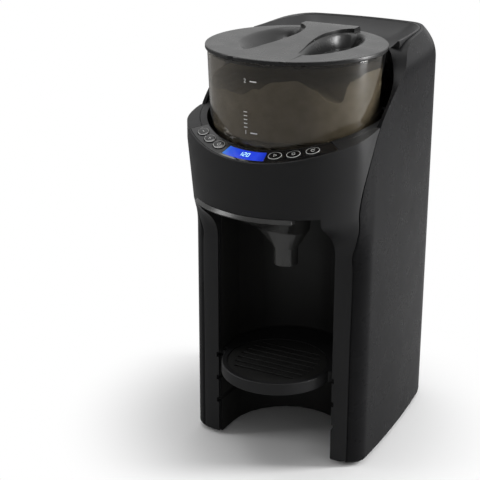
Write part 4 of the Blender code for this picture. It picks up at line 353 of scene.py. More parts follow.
# %% Clear plastics
def clear_plastic(name, tint, shadow_tint, rough):
    """Polished clear plastic with a tint, which dims shadows rather than blocking them."""
    made, tree, out = new_tree(name)
    shader = add_node(tree, "ShaderNodeBsdfPrincipled", {
        "Base Color": linear(tint), "Roughness": cloudy(tree, 25.0 * MM, rough, rough + 0.03),
        "IOR": 1.5, "Transmission Weight": 1.0})
    rays = add_node(tree, "ShaderNodeLightPath")
    through = add_node(tree, "ShaderNodeBsdfTransparent", {"Color": linear(shadow_tint)})
    mix = add_node(tree, "ShaderNodeMixShader", {
        0: rays.outputs["Is Shadow Ray"], 1: shader.outputs["BSDF"], 2: through.outputs[0]})
    tree.links.new(mix.outputs[0], out.inputs["Surface"])
    return made


smoke_san = clear_plastic("smoke_clear_san", "#8a8680", "#bab8b2", 0.03)
tank_san = clear_plastic("water_clear_san", "#d3dbde", "#e6eaec", 0.04)
print("two clear plastics")

# %% [markdown]
# The rest are plain trades: vulcanised rubber feet, silicone seals and hoses, turned and plated
# steel, die-cast aluminium and the green resist of a circuit board.

# %% Rubber, silicone, metal and board
def silicone(name, shade, rough, through):
    """Silicone: dull, slightly waxy, with light passing under its skin."""
    made, tree, out = new_tree(name)
    shader = add_node(tree, "ShaderNodeBsdfPrincipled", {
        "Base Color": linear(shade),
        "Roughness": cloudy(tree, 12.0 * MM, rough - 0.05, rough + 0.05),
        "IOR": 1.41, "Subsurface Weight": through, "Subsurface Scale": 2.0 * MM,
        "Normal": grain(tree, 0.7 * MM, 0.12, 0.4 * MM)})
    tree.links.new(shader.outputs["BSDF"], out.inputs["Surface"])
    return made


def metal(name, shade, rough, grain_size, bump):
    """A bare metal with a fine tool or casting grain."""
    made, tree, out = new_tree(name)
    shader = add_node(tree, "ShaderNodeBsdfPrincipled", {
        "Base Color": linear(shade), "Metallic": 1.0,
        "Roughness": cloudy(tree, 6.0 * MM, rough - 0.05, rough + 0.06),
        "Normal": grain(tree, grain_size, bump, 0.3 * MM)})
    tree.links.new(shader.outputs["BSDF"], out.inputs["Surface"])
    return made


foot_rubber = moulded("black_vulcanised_rubber", "#131313", "#191818", 0.82, 0.5 * MM, 0.4, 0.3)
seal_silicone = silicone("grey_silicone_seal", "#9a9a97", 0.55, 0.2)
hose_silicone = silicone("milky_silicone_hose", "#c9c7bf", 0.42, 0.35)
plated_steel = metal("turned_plated_steel", "#b4b4b6", 0.28, 0.25 * MM, 0.12)
cast_aluminium = metal("die_cast_aluminium", "#c2c2c4", 0.45, 0.5 * MM, 0.30)
board_resist = moulded("green_board_resist", "#123f22", "#17492a", 0.35, 0.8 * MM, 0.10, 0.5)
print("six plain finishes")

# %% [markdown]
# Milk powder is a matt, warm white grain with no gloss at all. Screen ink is flat and opaque, and
# the signs on the display are lit from behind, so they give light of their own.

# %% Powder and ink
def flat_finish(name, dark, light, rough, grain_size, bump, glow=0.0):
    """A matt surface with no gloss worth seeing, which may glow."""
    made, tree, out = new_tree(name)
    tone = two_tones(tree, dark, light, 9.0 * MM)
    shader = add_node(tree, "ShaderNodeBsdfPrincipled", {
        "Base Color": tone, "Roughness": rough, "Specular IOR Level": 0.2, "IOR": 1.5,
        "Emission Color": tone, "Emission Strength": glow,
        "Normal": grain(tree, grain_size, bump, 0.1 * MM)})
    tree.links.new(shader.outputs["BSDF"], out.inputs["Surface"])
    return made


milk_powder = flat_finish("spray_dried_milk_powder", "#d6cdb8", "#efe8d8", 0.95, 0.8 * MM, 0.6)
white_ink = flat_finish("white_screen_ink", "#dcdcda", "#e6e6e4", 0.6, 0.3 * MM, 0.05)
lit_sign = flat_finish("lit_display_sign", "#a8e4ea", "#c2f2f2", 0.5, 0.3 * MM, 0.05, 0.9)
print("powder and two inks")

# %% [markdown]
# A node of the frame is loose triangles. A merged copy of it can be shaded smooth, and it then
# stands for the node. Weighted normals let large faces rule the shading next to thin ones.

# %% Dress a node
MERGE = 0.01 * MM
BODIES = frame["record"]["behaviour"]["bodies"]
BODY_OF = {node: body for body, nodes in BODIES.items() for node in nodes}


def bake(piece):
    """Put a piece's evaluated mesh in place of its modifiers."""
    graph = bpy.context.evaluated_depsgraph_get()
    mesh = bpy.data.meshes.new_from_object(piece.evaluated_get(graph))
    piece.modifiers.clear()
    piece.data = mesh
    return piece


def shade(piece, degrees=32.0):
    """Smooth shading with sharp edges above an angle, ruled by the larger faces."""
    piece.data.shade_smooth()
    piece.data.set_sharp_from_angle(angle=math.radians(degrees))
    weigh = piece.modifiers.new("weigh", "WEIGHTED_NORMAL")
    weigh.keep_sharp = True
    return bake(piece)


def place_on(piece, node, look, more_nodes=()):
    """Give a finished piece its material and let it stand for a node."""
    piece.data.materials.clear()
    piece.data.materials.append(look)
    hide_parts(node, *more_nodes)
    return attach(piece, BODY_OF[node])


def smooth_copy(node, name, look):
    """A merged, smooth-shaded copy of a node that stands for it."""
    mesh = frame["nodes"][node].data.copy()
    shape = bmesh.new()
    shape.from_mesh(mesh)
    bmesh.ops.remove_doubles(shape, verts=shape.verts, dist=MERGE)
    bmesh.ops.dissolve_degenerate(shape, edges=shape.edges, dist=MERGE)
    shape.to_mesh(mesh)
    shape.free()
    piece = bpy.data.objects.new(name, mesh)
    bpy.context.scene.collection.objects.link(piece)
    return place_on(shade(piece), node, look)


# %% [markdown]
# The body's plan changes with height: below it is a rounded rectangle with two legs, above it
# swells into the round nose that carries the jar. One formula gives the distance from the
# middle to the skin for a direction and a height, so the mouldings can be sampled as finely as
# the picture needs. The sizes are those of the solids.

# %% Form of the body
SIDE_HALF = 81.5 * MM
WIDEST_Y = -22.0 * MM
SIDE_ARC = 1050.0 * MM
REAR_Y = 121.5 * MM
REAR_ARC = 300.0 * MM
REAR_CORNER = 32.0 * MM
LEG_FRONT_Y = -67.0 * MM
LEG_CORNER = 28.0 * MM
NOSE_CORNER = 6.0 * MM
BODY_BOTTOM = 1.0 * MM
BODY_TOP = 353.0 * MM
BOTTOM_ROLL = 5.0 * MM
ROLL_START = 325.0 * MM
ROLL_IN = 10.5 * MM
ROLL_POWER = 2.2
WALL = 2.6 * MM
CLEAR = 0.3 * MM
OVERRUN = 5.0 * MM
BOWL_Y = -32.0 * MM
NOSE_LOW_R = 85.0 * MM
NOSE_TOP_R = 89.5 * MM
NOSE_LOW_Z = 228.0 * MM
NOSE_TOP_Z = 277.0 * MM
NOSE_START_Z = 190.0 * MM
CROWN_R = 250.0 * MM
CROWN_Y = -19.0 * MM
CROWN_TOP = 299.0 * MM


def ease(share):
    """Smooth step from 0 to 1."""
    share = min(max(share, 0.0), 1.0)
    return share * share * (3.0 - 2.0 * share)


def even_steps(start, span, count):
    """Values from a start over a span, in a count of even steps, both ends included."""
    return [start + span * step / count for step in range(count + 1)]


def soft_min(first, second, reach):
    """The smaller of two distances, with the corner between them rounded."""
    overlap = max(reach - abs(first - second), 0.0) / reach
    return min(first, second) - overlap * overlap * reach / 4.0


def ray_to_circle(ux, uy, cx, cy, radius):
    """Distance from the origin to the far side of a circle, along a unit direction."""
    along = ux * cx + uy * cy
    return along + math.sqrt(along * along - cx * cx - cy * cy + radius * radius)


def crown_z(y, drop=0.0):
    """Height of the crowned deck at a place, lowered by a drop."""
    radius = CROWN_R - drop
    return CROWN_TOP - CROWN_R + math.sqrt(radius * radius - (y - CROWN_Y) ** 2)


def plan_radius(angle, z, inset):
    """Distance from the origin to the skin in one direction, drawn in by an inset."""
    ux, uy = math.cos(angle), math.sin(angle)
    side = ray_to_circle(abs(ux), uy, SIDE_HALF - SIDE_ARC, WIDEST_Y, SIDE_ARC - inset)
    if uy > 0.0:
        rear = ray_to_circle(ux, uy, 0.0, REAR_Y - REAR_ARC, REAR_ARC - inset)
        return soft_min(side, rear, REAR_CORNER)
    if uy == 0.0:
        return side
    swell = min(max((z - NOSE_LOW_Z) / (NOSE_TOP_Z - NOSE_LOW_Z), 0.0), 1.0)
    nose_r = NOSE_LOW_R + (NOSE_TOP_R - NOSE_LOW_R) * swell
    nose_share = ease((z - NOSE_START_Z) / (NOSE_LOW_Z - NOSE_START_Z))
    flat = (LEG_FRONT_Y + inset) / uy
    nose = ray_to_circle(ux, uy, 0.0, BOWL_Y, nose_r - inset)
    front = 1.0 / ((1.0 - nose_share) / flat + nose_share * ease(-uy / 0.6) / nose)
    return soft_min(side, front, LEG_CORNER + (NOSE_CORNER - LEG_CORNER) * nose_share)


def roll_inset(z):
    """How far the skin is drawn in by the rounded bottom and top edges."""
    if z < BODY_BOTTOM + BOTTOM_ROLL:
        share = max((z - BODY_BOTTOM) / BOTTOM_ROLL, 0.0)
        return BOTTOM_ROLL * (1.0 - share) ** 2
    if z > ROLL_START:
        return ROLL_IN * min((z - ROLL_START) / (BODY_TOP - ROLL_START), 1.0) ** ROLL_POWER
    return 0.0


SKIN_SIDES = 160
HALF_TURN = even_steps(-math.pi / 2.0, math.pi, SKIN_SIDES)


def skin_ring(z, inset, place_z=None):
    """One closed outline of the skin, anticlockwise from above."""
    right = []
    for angle in HALF_TURN:
        radius = plan_radius(angle, z, inset)
        right.append((radius * math.cos(angle), radius * math.sin(angle)))
    left = [(-x, y) for x, y in reversed(right[1:-1])]
    return [Vector((x, y, z if place_z is None else place_z)) for x, y in right + left]


print("skin has", 2 * SKIN_SIDES, "points round")

# %% [markdown]
# Solids are made the way the tool maker thinks: a body, less what is cut out of it. Lofts join
# like rings, plates are outlines with a thickness, and Booleans do the cutting. Every helper
# here works on plain mesh objects.

# %% Solid helpers
def mesh_piece(name, mesh):
    """An object of the scene."""
    made = bpy.data.objects.new(name, mesh)
    bpy.context.scene.collection.objects.link(made)
    return made


def to_piece(name, shape):
    """An object of the scene from an edited shape, its faces turned outwards."""
    bmesh.ops.recalc_face_normals(shape, faces=shape.faces)
    mesh = bpy.data.meshes.new(name)
    shape.to_mesh(mesh)
    shape.free()
    return mesh_piece(name, mesh)


def loft(name, rings):
    """A closed solid through rings of equal point counts, bottom ring first."""
    shape = bmesh.new()
    rows = [[shape.verts.new(point) for point in ring] for ring in rings]
    count = len(rows[0])
    for lower, upper in zip(rows, rows[1:]):
        for index in range(count):
            after = (index + 1) % count
            shape.faces.new((lower[index], lower[after], upper[after], upper[index]))
    shape.faces.new(list(reversed(rows[0])))
    shape.faces.new(rows[-1])
    return to_piece(name, shape)


def fine_levels():
    """Heights of the skin's sections, close together where it bends."""
    levels = even_steps(BODY_BOTTOM, BOTTOM_ROLL, 6)
    levels += even_steps(NOSE_START_Z, NOSE_LOW_Z - NOSE_START_Z, 12)
    return levels + [NOSE_TOP_Z] + even_steps(ROLL_START, BODY_TOP - ROLL_START, 10)


def skin_solid(name, inset, low=BODY_BOTTOM, high=BODY_TOP):
    """The body's outer form drawn in by an inset, between two heights."""
    inner = [z for z in fine_levels() if low < z < high]
    return loft(name, [skin_ring(min(max(z, BODY_BOTTOM), BODY_TOP), inset + roll_inset(z), z)
                       for z in [low] + inner + [high]])


def combine(piece, other, operation="DIFFERENCE"):
    """Boolean of two solids; the second one is used up."""
    change = piece.modifiers.new("change", "BOOLEAN")
    change.operation = operation
    change.object = other
    bake(piece)
    bpy.data.objects.remove(other, do_unlink=True)
    return piece


def block(low, high):
    """A rectangular cutter between two corners."""
    shape = bmesh.new()
    bmesh.ops.create_cube(shape, size=1.0)
    low, high = Vector(low), Vector(high)
    bmesh.ops.transform(shape, matrix=Matrix.Diagonal((*(high - low), 1.0)), verts=shape.verts)
    bmesh.ops.translate(shape, vec=(low + high) / 2.0, verts=shape.verts)
    return to_piece("block", shape)


def rod(name, centre, radius, low, high, sides=96):
    """An upright cylinder between two heights."""
    ring = arc(centre, radius, 0.0, 2.0 * math.pi, sides)[:-1]
    return loft(name, [[Vector((x, y, z)) for x, y in ring] for z in (low, high)])


def curve_shape(curve):
    """The editable solid of a filled and extruded curve."""
    source = mesh_piece(curve.name, curve)
    graph = bpy.context.evaluated_depsgraph_get()
    mesh = bpy.data.meshes.new_from_object(source.evaluated_get(graph))
    bpy.data.objects.remove(source, do_unlink=True)
    shape = bmesh.new()
    shape.from_mesh(mesh)
    bmesh.ops.remove_doubles(shape, verts=shape.verts, dist=MERGE)
    return shape


def plate(name, outline, low, high, turn=None):
    """A flat outline with a thickness between two heights, before any turn."""
    curve = bpy.data.curves.new(name, "CURVE")
    curve.dimensions = "2D"
    curve.fill_mode = "BOTH"
    curve.extrude = (high - low) / 2.0
    line = curve.splines.new("POLY")
    line.points.add(len(outline) - 1)
    for point, (x, y) in zip(line.points, outline):
        point.co = (x, y, 0.0, 1.0)
    line.use_cyclic_u = True
    shape = curve_shape(curve)
    lift = Matrix.Translation((0.0, 0.0, (low + high) / 2.0))
    bmesh.ops.transform(shape, matrix=turn @ lift if turn else lift, verts=shape.verts)
    return to_piece(name, shape)


SIDE_TURN = Matrix(((0.0, 0.0, 1.0), (1.0, 0.0, 0.0), (0.0, 1.0, 0.0))).to_4x4()


def side_prism(outline):
    """An outline in (y, z) made a block wider than the body."""
    reach = SIDE_HALF + OVERRUN
    return plate("side_prism", outline, -reach, reach, SIDE_TURN)


def arc(centre, radius, start, end, steps):
    """Points along an arc, both ends included, angles in radians."""
    return [(centre[0] + radius * math.cos(angle), centre[1] + radius * math.sin(angle))
            for angle in even_steps(start, end - start, steps)]


print("solid helpers ready")

# %% [markdown]
# The front housing and the rear shell meet at a line that rises along the legs, leans back round
# the jar and ends under the rim. It is one curve through a few points, seen from the side. A
# Catmull-Rom spline passes through every point, so the line stays where the photograph has it.

# %% Parting line
SPLIT_GAP = 1.2 * MM
SPLIT_TONGUE = 4.0 * MM
SPLIT_SHARES = (
    (-0.535, -0.020), (-0.535, 0.300), (-0.535, 0.530), (-0.556, 0.600), (-0.580, 0.657),
    (-0.564, 0.714), (-0.510, 0.768), (-0.428, 0.819), (-0.313, 0.864), (-0.123, 0.912),
    (0.033, 0.943), (0.140, 0.9745), (0.280, 0.990), (0.494, 0.9955), (1.100, 1.001),
)
SPLIT_STEPS = 8
FRONT_LIMIT_Y = BOWL_Y - NOSE_TOP_R - OVERRUN
CROWN_STEPS = 28


def catmull_rom(before, start, end, after, steps):
    """Points of one stretch of a smooth curve, from its start to just before its end."""
    stretch = []
    for step in range(steps):
        share = step / steps
        spot = start * 2.0 + (end - before) * share
        spot += (before * 2.0 - start * 5.0 + end * 4.0 - after) * share ** 2
        spot += (start * 3.0 - before - end * 3.0 + after) * share ** 3
        stretch.append(spot / 2.0)
    return stretch


def smooth_route(points, steps):
    """A Catmull-Rom curve through points, with the same steps in each stretch."""
    spots = [Vector(point) for point in points]
    padded = [spots[0] * 2.0 - spots[1]] + spots + [spots[-1] * 2.0 - spots[-2]]
    route = []
    for index in range(1, len(padded) - 2):
        route += catmull_rom(*padded[index - 1:index + 3], steps)
    return route + [spots[-1]]


def split_line(shift_y=0.0, shift_z=0.0):
    """The parting line as (y, z) points, moved by a shift."""
    spots = [(REAR_Y * y + shift_y, BODY_TOP * z + shift_z, 0.0) for y, z in SPLIT_SHARES]
    return [(spot.x, spot.y) for spot in smooth_route(spots, SPLIT_STEPS)]


def front_outline(shift_y, drop=0.0):
    """Side outline of what lies in front of the parting line and under the crown."""
    line = [(y, z) for y, z in split_line(shift_y) if z < crown_z(y, drop) and y < 0.0]
    start = line[-1][0]
    rows = even_steps(start, FRONT_LIMIT_Y - start, CROWN_STEPS)[1:]
    crown = [(y, crown_z(y, drop)) for y in rows]
    return line + crown + [(FRONT_LIMIT_Y, line[0][1])]


print("parting line has", len(split_line()), "points")

# %% [markdown]
# The panel is a crescent let into the crowned top of the nose. Its plan is a band about the
# jar's axis, and its height follows the crown, so it is cut from a plate by a section in the
# shape of the crown. The same call makes the recess, the window and the holes of the keys.

# %% Crescent of the panel
FASCIA_IN_R = 73.5 * MM
FASCIA_OUT_R = 88.0 * MM
FASCIA_HALF = math.radians(48.0)
FASCIA_THICK = 2.0 * MM
PANEL_R = (FASCIA_IN_R + FASCIA_OUT_R) / 2.0
BUTTON_LONG = 11.4 * MM
BUTTON_WIDE = 8.8 * MM
BUTTON_DEEP = 3.0 * MM
BUTTON_CLEAR = 0.35 * MM
BUTTON_ANGLES = (-40.6, -31.5, -22.4, 14.7, 24.9, 35.5)
WINDOW_FROM = math.radians(-16.0)
WINDOW_TO = math.radians(9.0)
WINDOW_IN_R = 76.2 * MM
WINDOW_OUT_R = 85.8 * MM
WELL_R = 79.0 * MM
WELL_BOTTOM = 262.0 * MM
NOSE_WALL = 2.0 * WALL + CLEAR


def polar_band(inner, outer, start, end, steps):
    """Plan of a band about the jar's axis; angles from the front, positive to the right."""
    turn = -math.pi / 2.0
    outside = arc((0.0, BOWL_Y), outer, turn + start, turn + end, steps)
    return outside + arc((0.0, BOWL_Y), inner, turn + end, turn + start, steps)


def fascia_plan(spread):
    """Plan of the control panel, grown by a clearance."""
    half = FASCIA_HALF + spread / PANEL_R
    return polar_band(FASCIA_IN_R - spread, FASCIA_OUT_R + spread, -half, half, 64)


def crowned_plate(name, outline, drop, thickness):
    """A plan outline with a crowned top, lowered by a drop, and an even thickness."""
    made = plate(name, outline, WELL_BOTTOM, CROWN_TOP + OVERRUN)
    ys = [y for _, y in outline]
    front, back = min(ys) - OVERRUN, max(ys) + OVERRUN
    rows = even_steps(front, back - front, CROWN_STEPS)
    section = [(y, crown_z(y, drop)) for y in rows]
    section += [(y, crown_z(y, drop + thickness)) for y in reversed(rows)]
    return combine(made, side_prism(section), "INTERSECT")


def panel_spot(degrees, radius=PANEL_R):
    """Point on the crowned deck on a circle about the jar's axis."""
    angle = math.radians(degrees)
    y = BOWL_Y - radius * math.cos(angle)
    return radius * math.sin(angle), y, crown_z(y)


def oval_plan(degrees, spread, points=40):
    """Plan of one button, its long side along the panel, grown by a clearance."""
    x, y, _ = panel_spot(degrees)
    turn = math.radians(degrees)
    plan = []
    for step in range(points):
        angle = 2.0 * math.pi * step / points
        along = (BUTTON_LONG / 2.0 + spread) * math.cos(angle)
        across = (BUTTON_WIDE / 2.0 + spread) * math.sin(angle)
        plan.append((x + along * math.cos(turn) - across * math.sin(turn),
                     y + along * math.sin(turn) + across * math.cos(turn)))
    return plan


print("panel spans", round(math.degrees(2.0 * FASCIA_HALF)), "degrees")

# %% [markdown]
# The front housing is the nose and the fronts of both legs in one moulding, with a tongue that
# goes inside the rear shell. It is the skin in front of the parting line, hollowed, with the
# alcove's mouth, the jar's well and the panel's recess cut out of it.

# %% Front housing
ALCOVE_HALF = 54.5 * MM
ALCOVE_WALL = 4.0 * MM
ALCOVE_Y = -40.0 * MM
ALCOVE_TOP = 232.0 * MM
NOSE_FLOOR = 3.0 * MM
RAIL_DEEP = 2.0 * MM
RAIL_HIGH = 4.6 * MM
RAIL_BACK_Y = -30.0 * MM
STAND_TOP = 84.0 * MM
STAND_BAND = 10.5 * MM
STAND_PITCH = 22.0 * MM
BELOW = BODY_BOTTOM - OVERRUN * 2.0


def cut_stand_grooves(piece, front_y):
    """Cut the grooves that the stand's ribs slide in, one pair for each level."""
    deep = ALCOVE_HALF + RAIL_DEEP
    for level in range(3):
        top = STAND_TOP - STAND_BAND / 2.0 + RAIL_HIGH / 2.0 - STAND_PITCH * level
        combine(piece, block((-deep, front_y, top - RAIL_HIGH), (deep, RAIL_BACK_Y, top)))


def front_moulding():
    """Nose and leg fronts."""
    shell = skin_solid("front_housing_moulding", 0.0)
    combine(shell, side_prism(front_outline(-SPLIT_GAP / 2.0)), "INTERSECT")
    tongue = skin_solid("tongue", WALL + CLEAR)
    combine(tongue, side_prism(front_outline(SPLIT_TONGUE, CLEAR)), "INTERSECT")
    ring_r = WELL_R + WALL + CLEAR
    combine(tongue, rod("end", (0.0, BOWL_Y), ring_r, WELL_BOTTOM - CLEAR, BODY_TOP))
    combine(shell, tongue, "UNION")
    hollow = skin_solid("hollow", NOSE_WALL, BODY_BOTTOM - OVERRUN, BODY_TOP)
    inner, outer = ALCOVE_HALF - WALL, ALCOVE_HALF + ALCOVE_WALL + CLEAR
    for near, far in ((-outer, -inner), (inner, outer)):
        top = ALCOVE_TOP + NOSE_FLOOR + CLEAR
        combine(hollow, block((near, FRONT_LIMIT_Y, BELOW), (far, 0.0, top)))
    rows = even_steps(OVERRUN, FRONT_LIMIT_Y - OVERRUN, CROWN_STEPS)
    roof = [(FRONT_LIMIT_Y, BELOW), (OVERRUN, BELOW)] + [(y, crown_z(y, NOSE_WALL)) for y in rows]
    combine(hollow, side_prism(roof), "INTERSECT")
    combine(shell, hollow)
    arch_low = (-ALCOVE_HALF, FRONT_LIMIT_Y, BELOW)
    combine(shell, block(arch_low, (ALCOVE_HALF, 0.0, ALCOVE_TOP)))
    cut_stand_grooves(shell, FRONT_LIMIT_Y)
    combine(shell, rod("well", (0.0, BOWL_Y), WELL_R, WELL_BOTTOM, BODY_TOP))
    recess = fascia_plan(CLEAR)
    return combine(shell, crowned_plate("recess", recess, -OVERRUN, OVERRUN + FASCIA_THICK + CLEAR))


place_on(shade(front_moulding()), "front_housing", charcoal_abs)
print("front housing made")

# %% [markdown]
# The rear shell is the sides, the back, the two wings that hold the jar and the rim over the
# tank. Its wings end in a plain cut edge as thick as the wall, which the light picks out.

# %% Rear shell
RIM_IN = 12.6 * MM
TANK_OPEN_Y = 22.0 * MM
TANK_OPEN_Z = 334.0 * MM
WING_START_Y = -50.0 * MM
INLET_PLACE = (40.0 * MM, 24.0 * MM)
INLET_HALF = (12.0 * MM, 8.5 * MM)


def tank_opening(name, inset, low, high):
    """Space inside the rim and behind the jar's well."""
    rings = [skin_ring(NOSE_START_Z, RIM_IN + inset, z) for z in (low, high)]
    made = loft(name, rings)
    reach = SIDE_HALF + OVERRUN
    front_low = (-reach, FRONT_LIMIT_Y, low - OVERRUN)
    return combine(made, block(front_low, (reach, TANK_OPEN_Y + inset, high + OVERRUN)))


def rear_moulding():
    """Sides, back, wings and rim."""
    shell = skin_solid("rear_shell_moulding", 0.0)
    behind = list(reversed(split_line(SPLIT_GAP / 2.0)))
    outline = [(behind[0][0], BELOW)] + behind + [(behind[-1][0], BELOW)]
    combine(shell, side_prism(outline), "INTERSECT")
    well_low = WELL_BOTTOM - OVERRUN
    combine(shell, rod("well", (0.0, BOWL_Y), WELL_R, well_low, BODY_TOP + OVERRUN))
    hollow = skin_solid("hollow", WALL, BODY_BOTTOM - OVERRUN, BODY_TOP - WALL)
    lip = [(y, z) for y, z in split_line(WALL, -WALL) if y > WING_START_Y]
    section = [(FRONT_LIMIT_Y, BELOW), (lip[-1][0], BELOW)] + list(reversed(lip))
    section += [(WING_START_Y, CROWN_TOP), (FRONT_LIMIT_Y, CROWN_TOP)]
    combine(hollow, side_prism(section), "INTERSECT")
    ring = rod("ring", (0.0, BOWL_Y), WELL_R + WALL, WELL_BOTTOM, BODY_TOP + OVERRUN)
    combine(ring, rod("core", (0.0, BOWL_Y), WELL_R - CLEAR, well_low, BODY_TOP + OVERRUN * 2.0))
    combine(hollow, ring)
    combine(shell, hollow)
    mouth = SIDE_HALF - LEG_CORNER / 2.0
    mouth_high = (mouth, WING_START_Y, WELL_BOTTOM - OVERRUN * 2.0)
    combine(shell, block((-mouth, FRONT_LIMIT_Y, BELOW), mouth_high))
    combine(shell, tank_opening("opening", 0.0, TANK_OPEN_Z, BODY_TOP + OVERRUN))
    x, z = INLET_PLACE
    half_x, half_z = INLET_HALF
    inlet_low = (x - half_x, REAR_Y - OVERRUN * 2.0, z - half_z)
    return combine(shell, block(inlet_low, (x + half_x, REAR_Y + OVERRUN, z + half_z)))


place_on(shade(rear_moulding()), "rear_shell", graphite_abs)
print("rear shell made")

# %% [markdown]
# The powder jar is moulded in one shot from clear plastic: a floor with two holes, a short foot
# that steps in and a wall that widens upwards so that it leaves the mould. It could be built as a
# cylinder with a taper, but clear plastic shows every facet and every hard edge. So its section is
# drawn as one closed line, with small radii at the rim and the foot, and turned round the axis.

# %% Powder jar
TURN_STEPS = 144
JAR_AXIS = (0.0, BOWL_Y)
JAR_BOTTOM = 278.8 * MM
JAR_FLOOR = 280.8 * MM
JAR_BEND = 295.0 * MM
JAR_RIM = 351.0 * MM
JAR_FOOT_R = 69.6 * MM
JAR_BEND_R = 70.3 * MM
JAR_RIM_R = 72.5 * MM
JAR_WALL = 1.8 * MM
JAR_ROUND = 1.6 * MM
JAR_FILLET = 1.2 * MM
DRIVE_HOLE_R = 7.0 * MM
OUTLET_R = 9.0 * MM
OUTLET_SPOT = (0.0, -72.0 * MM)
FLOOR_HOLES = ((JAR_AXIS, DRIVE_HOLE_R), (OUTLET_SPOT, OUTLET_R))


def turned(name, profile, centre, steps=TURN_STEPS):
    """A closed solid of revolution about an upright axis; the profile is (radius, height)."""
    shape = bmesh.new()
    rings = []
    for radius, z in profile:
        if radius < MERGE:
            rings.append([shape.verts.new((centre[0], centre[1], z))])
            continue
        ring = arc(centre, radius, 0.0, 2.0 * math.pi, steps)[:-1]
        rings.append([shape.verts.new((x, y, z)) for x, y in ring])
    for index, ring in enumerate(rings):
        after = rings[(index + 1) % len(rings)]
        if len(ring) == 1 and len(after) == 1:
            continue
        for step in range(steps):
            turn = (step + 1) % steps
            corners = [ring[step % len(ring)], ring[turn % len(ring)],
                       after[turn % len(after)], after[step % len(after)]]
            shape.faces.new(list(dict.fromkeys(corners)))
    return to_piece(name, shape)


def jar_radius(z):
    """Outer radius of the jar's wall at a height."""
    if z < JAR_BEND:
        share = (z - JAR_FLOOR) / (JAR_BEND - JAR_FLOOR)
        return JAR_FOOT_R + (JAR_BEND_R - JAR_FOOT_R) * share
    return JAR_BEND_R + (JAR_RIM_R - JAR_BEND_R) * (z - JAR_BEND) / (JAR_RIM - JAR_BEND)


def jar_moulding():
    """The jar with a rounded rim, a rounded foot and its two floor holes."""
    rim = JAR_WALL / 2.0
    foot = JAR_FOOT_R - JAR_WALL
    profile = [(foot - JAR_FILLET, JAR_FLOOR), (foot, JAR_FLOOR + JAR_FILLET)]
    profile += [(jar_radius(z) - JAR_WALL, z) for z in (JAR_BEND, JAR_RIM - rim)]
    profile += arc((JAR_RIM_R - rim, JAR_RIM - rim), rim, math.pi, 0.0, 6)[1:-1]
    profile += [(jar_radius(z), z) for z in (JAR_RIM - rim, JAR_BEND, JAR_FLOOR + 0.8 * MM)]
    round_middle = (JAR_FOOT_R - JAR_ROUND, JAR_BOTTOM + JAR_ROUND)
    profile += arc(round_middle, JAR_ROUND, 0.0, -math.pi / 2.0, 5)
    profile += [(0.0, JAR_BOTTOM), (0.0, JAR_FLOOR)]
    jar = turned("powder_container_moulding", profile, JAR_AXIS)
    for spot, radius in FLOOR_HOLES:
        combine(jar, rod("hole", spot, radius, JAR_BOTTOM - OVERRUN, JAR_FLOOR + OVERRUN, 48))
    return jar


place_on(shade(jar_moulding()), "powder_container", smoke_san)
print("jar turned in", TURN_STEPS, "steps")

# %% [markdown]
# Milk powder fills about two thirds of the jar. It is a fine dry grain that clings to the wall,
# so its top edge is ragged where it slid down, high in one place and low in the next. The fill is
# turned like the jar, a hair smaller. A list of heights and noise then lift and lower its top.
# A room is left in its middle for the stirrer to turn in, as the stirrer clears its own way.

# %% Powder fill
POWDER_GAP = 0.35 * MM
POWDER_LOW = 289.6 * MM
STIRRER_ROOM_R = 62.0 * MM
STIRRER_ROOM_TOP = 305.0 * MM
POWDER_MIDDLE_Z = 329.0 * MM
# Degrees from the front, positive to the right, and height in millimetres.
POWDER_EDGE = (
    (-180, 331), (-120, 330), (-80, 327), (-43, 323), (-26, 325.5), (-12, 325), (0, 331),
    (13, 337.5), (26, 339.5), (37, 332), (47, 321.5), (56, 320), (62, 336), (80, 341),
    (105, 339), (140, 334), (180, 331),
)
POWDER_RINGS = (1.0, 0.985, 0.95, 0.88, 0.78, 0.62, 0.42, 0.2)
GRAIN_HIGH, GRAIN_WIDE = 1.2 * MM, 5.0 * MM
MOUND_HIGH, MOUND_WIDE = 3.0 * MM, 18.0 * MM


def edge_height(degrees):
    """Height of the powder's top edge at an angle from the front, positive to the right."""
    for (before, low), (after, high) in zip(POWDER_EDGE, POWDER_EDGE[1:]):
        if before <= degrees <= after:
            return (low + (high - low) * ease((degrees - before) / (after - before))) * MM
    return POWDER_MIDDLE_Z


def powder_fill():
    """Powder against the jar's wall, with a ragged top and a room for the stirrer."""
    def wall(z):
        return jar_radius(z) - JAR_WALL - POWDER_GAP
    levels = [POWDER_LOW, JAR_BEND, 303.0 * MM, 311.0 * MM]
    profile = [(wall(z), z) for z in levels]
    reach = wall(POWDER_MIDDLE_Z)
    profile += [(reach * share, POWDER_MIDDLE_Z) for share in POWDER_RINGS]
    profile += [(0.0, POWDER_MIDDLE_Z), (0.0, STIRRER_ROOM_TOP),
                (STIRRER_ROOM_R * 0.9, STIRRER_ROOM_TOP),
                (STIRRER_ROOM_R, STIRRER_ROOM_TOP - 4.0 * MM), (STIRRER_ROOM_R, POWDER_LOW)]
    fill = turned("milk_powder", profile, JAR_AXIS)
    for vertex in fill.data.vertices:
        x, y = vertex.co.x, vertex.co.y - BOWL_Y
        if vertex.co.z < POWDER_MIDDLE_Z - 0.1 * MM:
            continue
        share = min(math.hypot(x, y) / reach, 1.0)
        degrees = math.degrees(math.atan2(x, -y))
        ragged = GRAIN_HIGH * noise.noise(Vector((x, y, 0.0)) / GRAIN_WIDE)
        mound = (1.0 - share) * MOUND_HIGH * noise.noise(Vector((x, y, 40.0)) / MOUND_WIDE)
        vertex.co.z += (edge_height(degrees) - POWDER_MIDDLE_Z) * share ** 3 + ragged + mound
        widen = wall(vertex.co.z) / reach
        vertex.co.x *= widen
        vertex.co.y = BOWL_Y + y * widen
    return fill


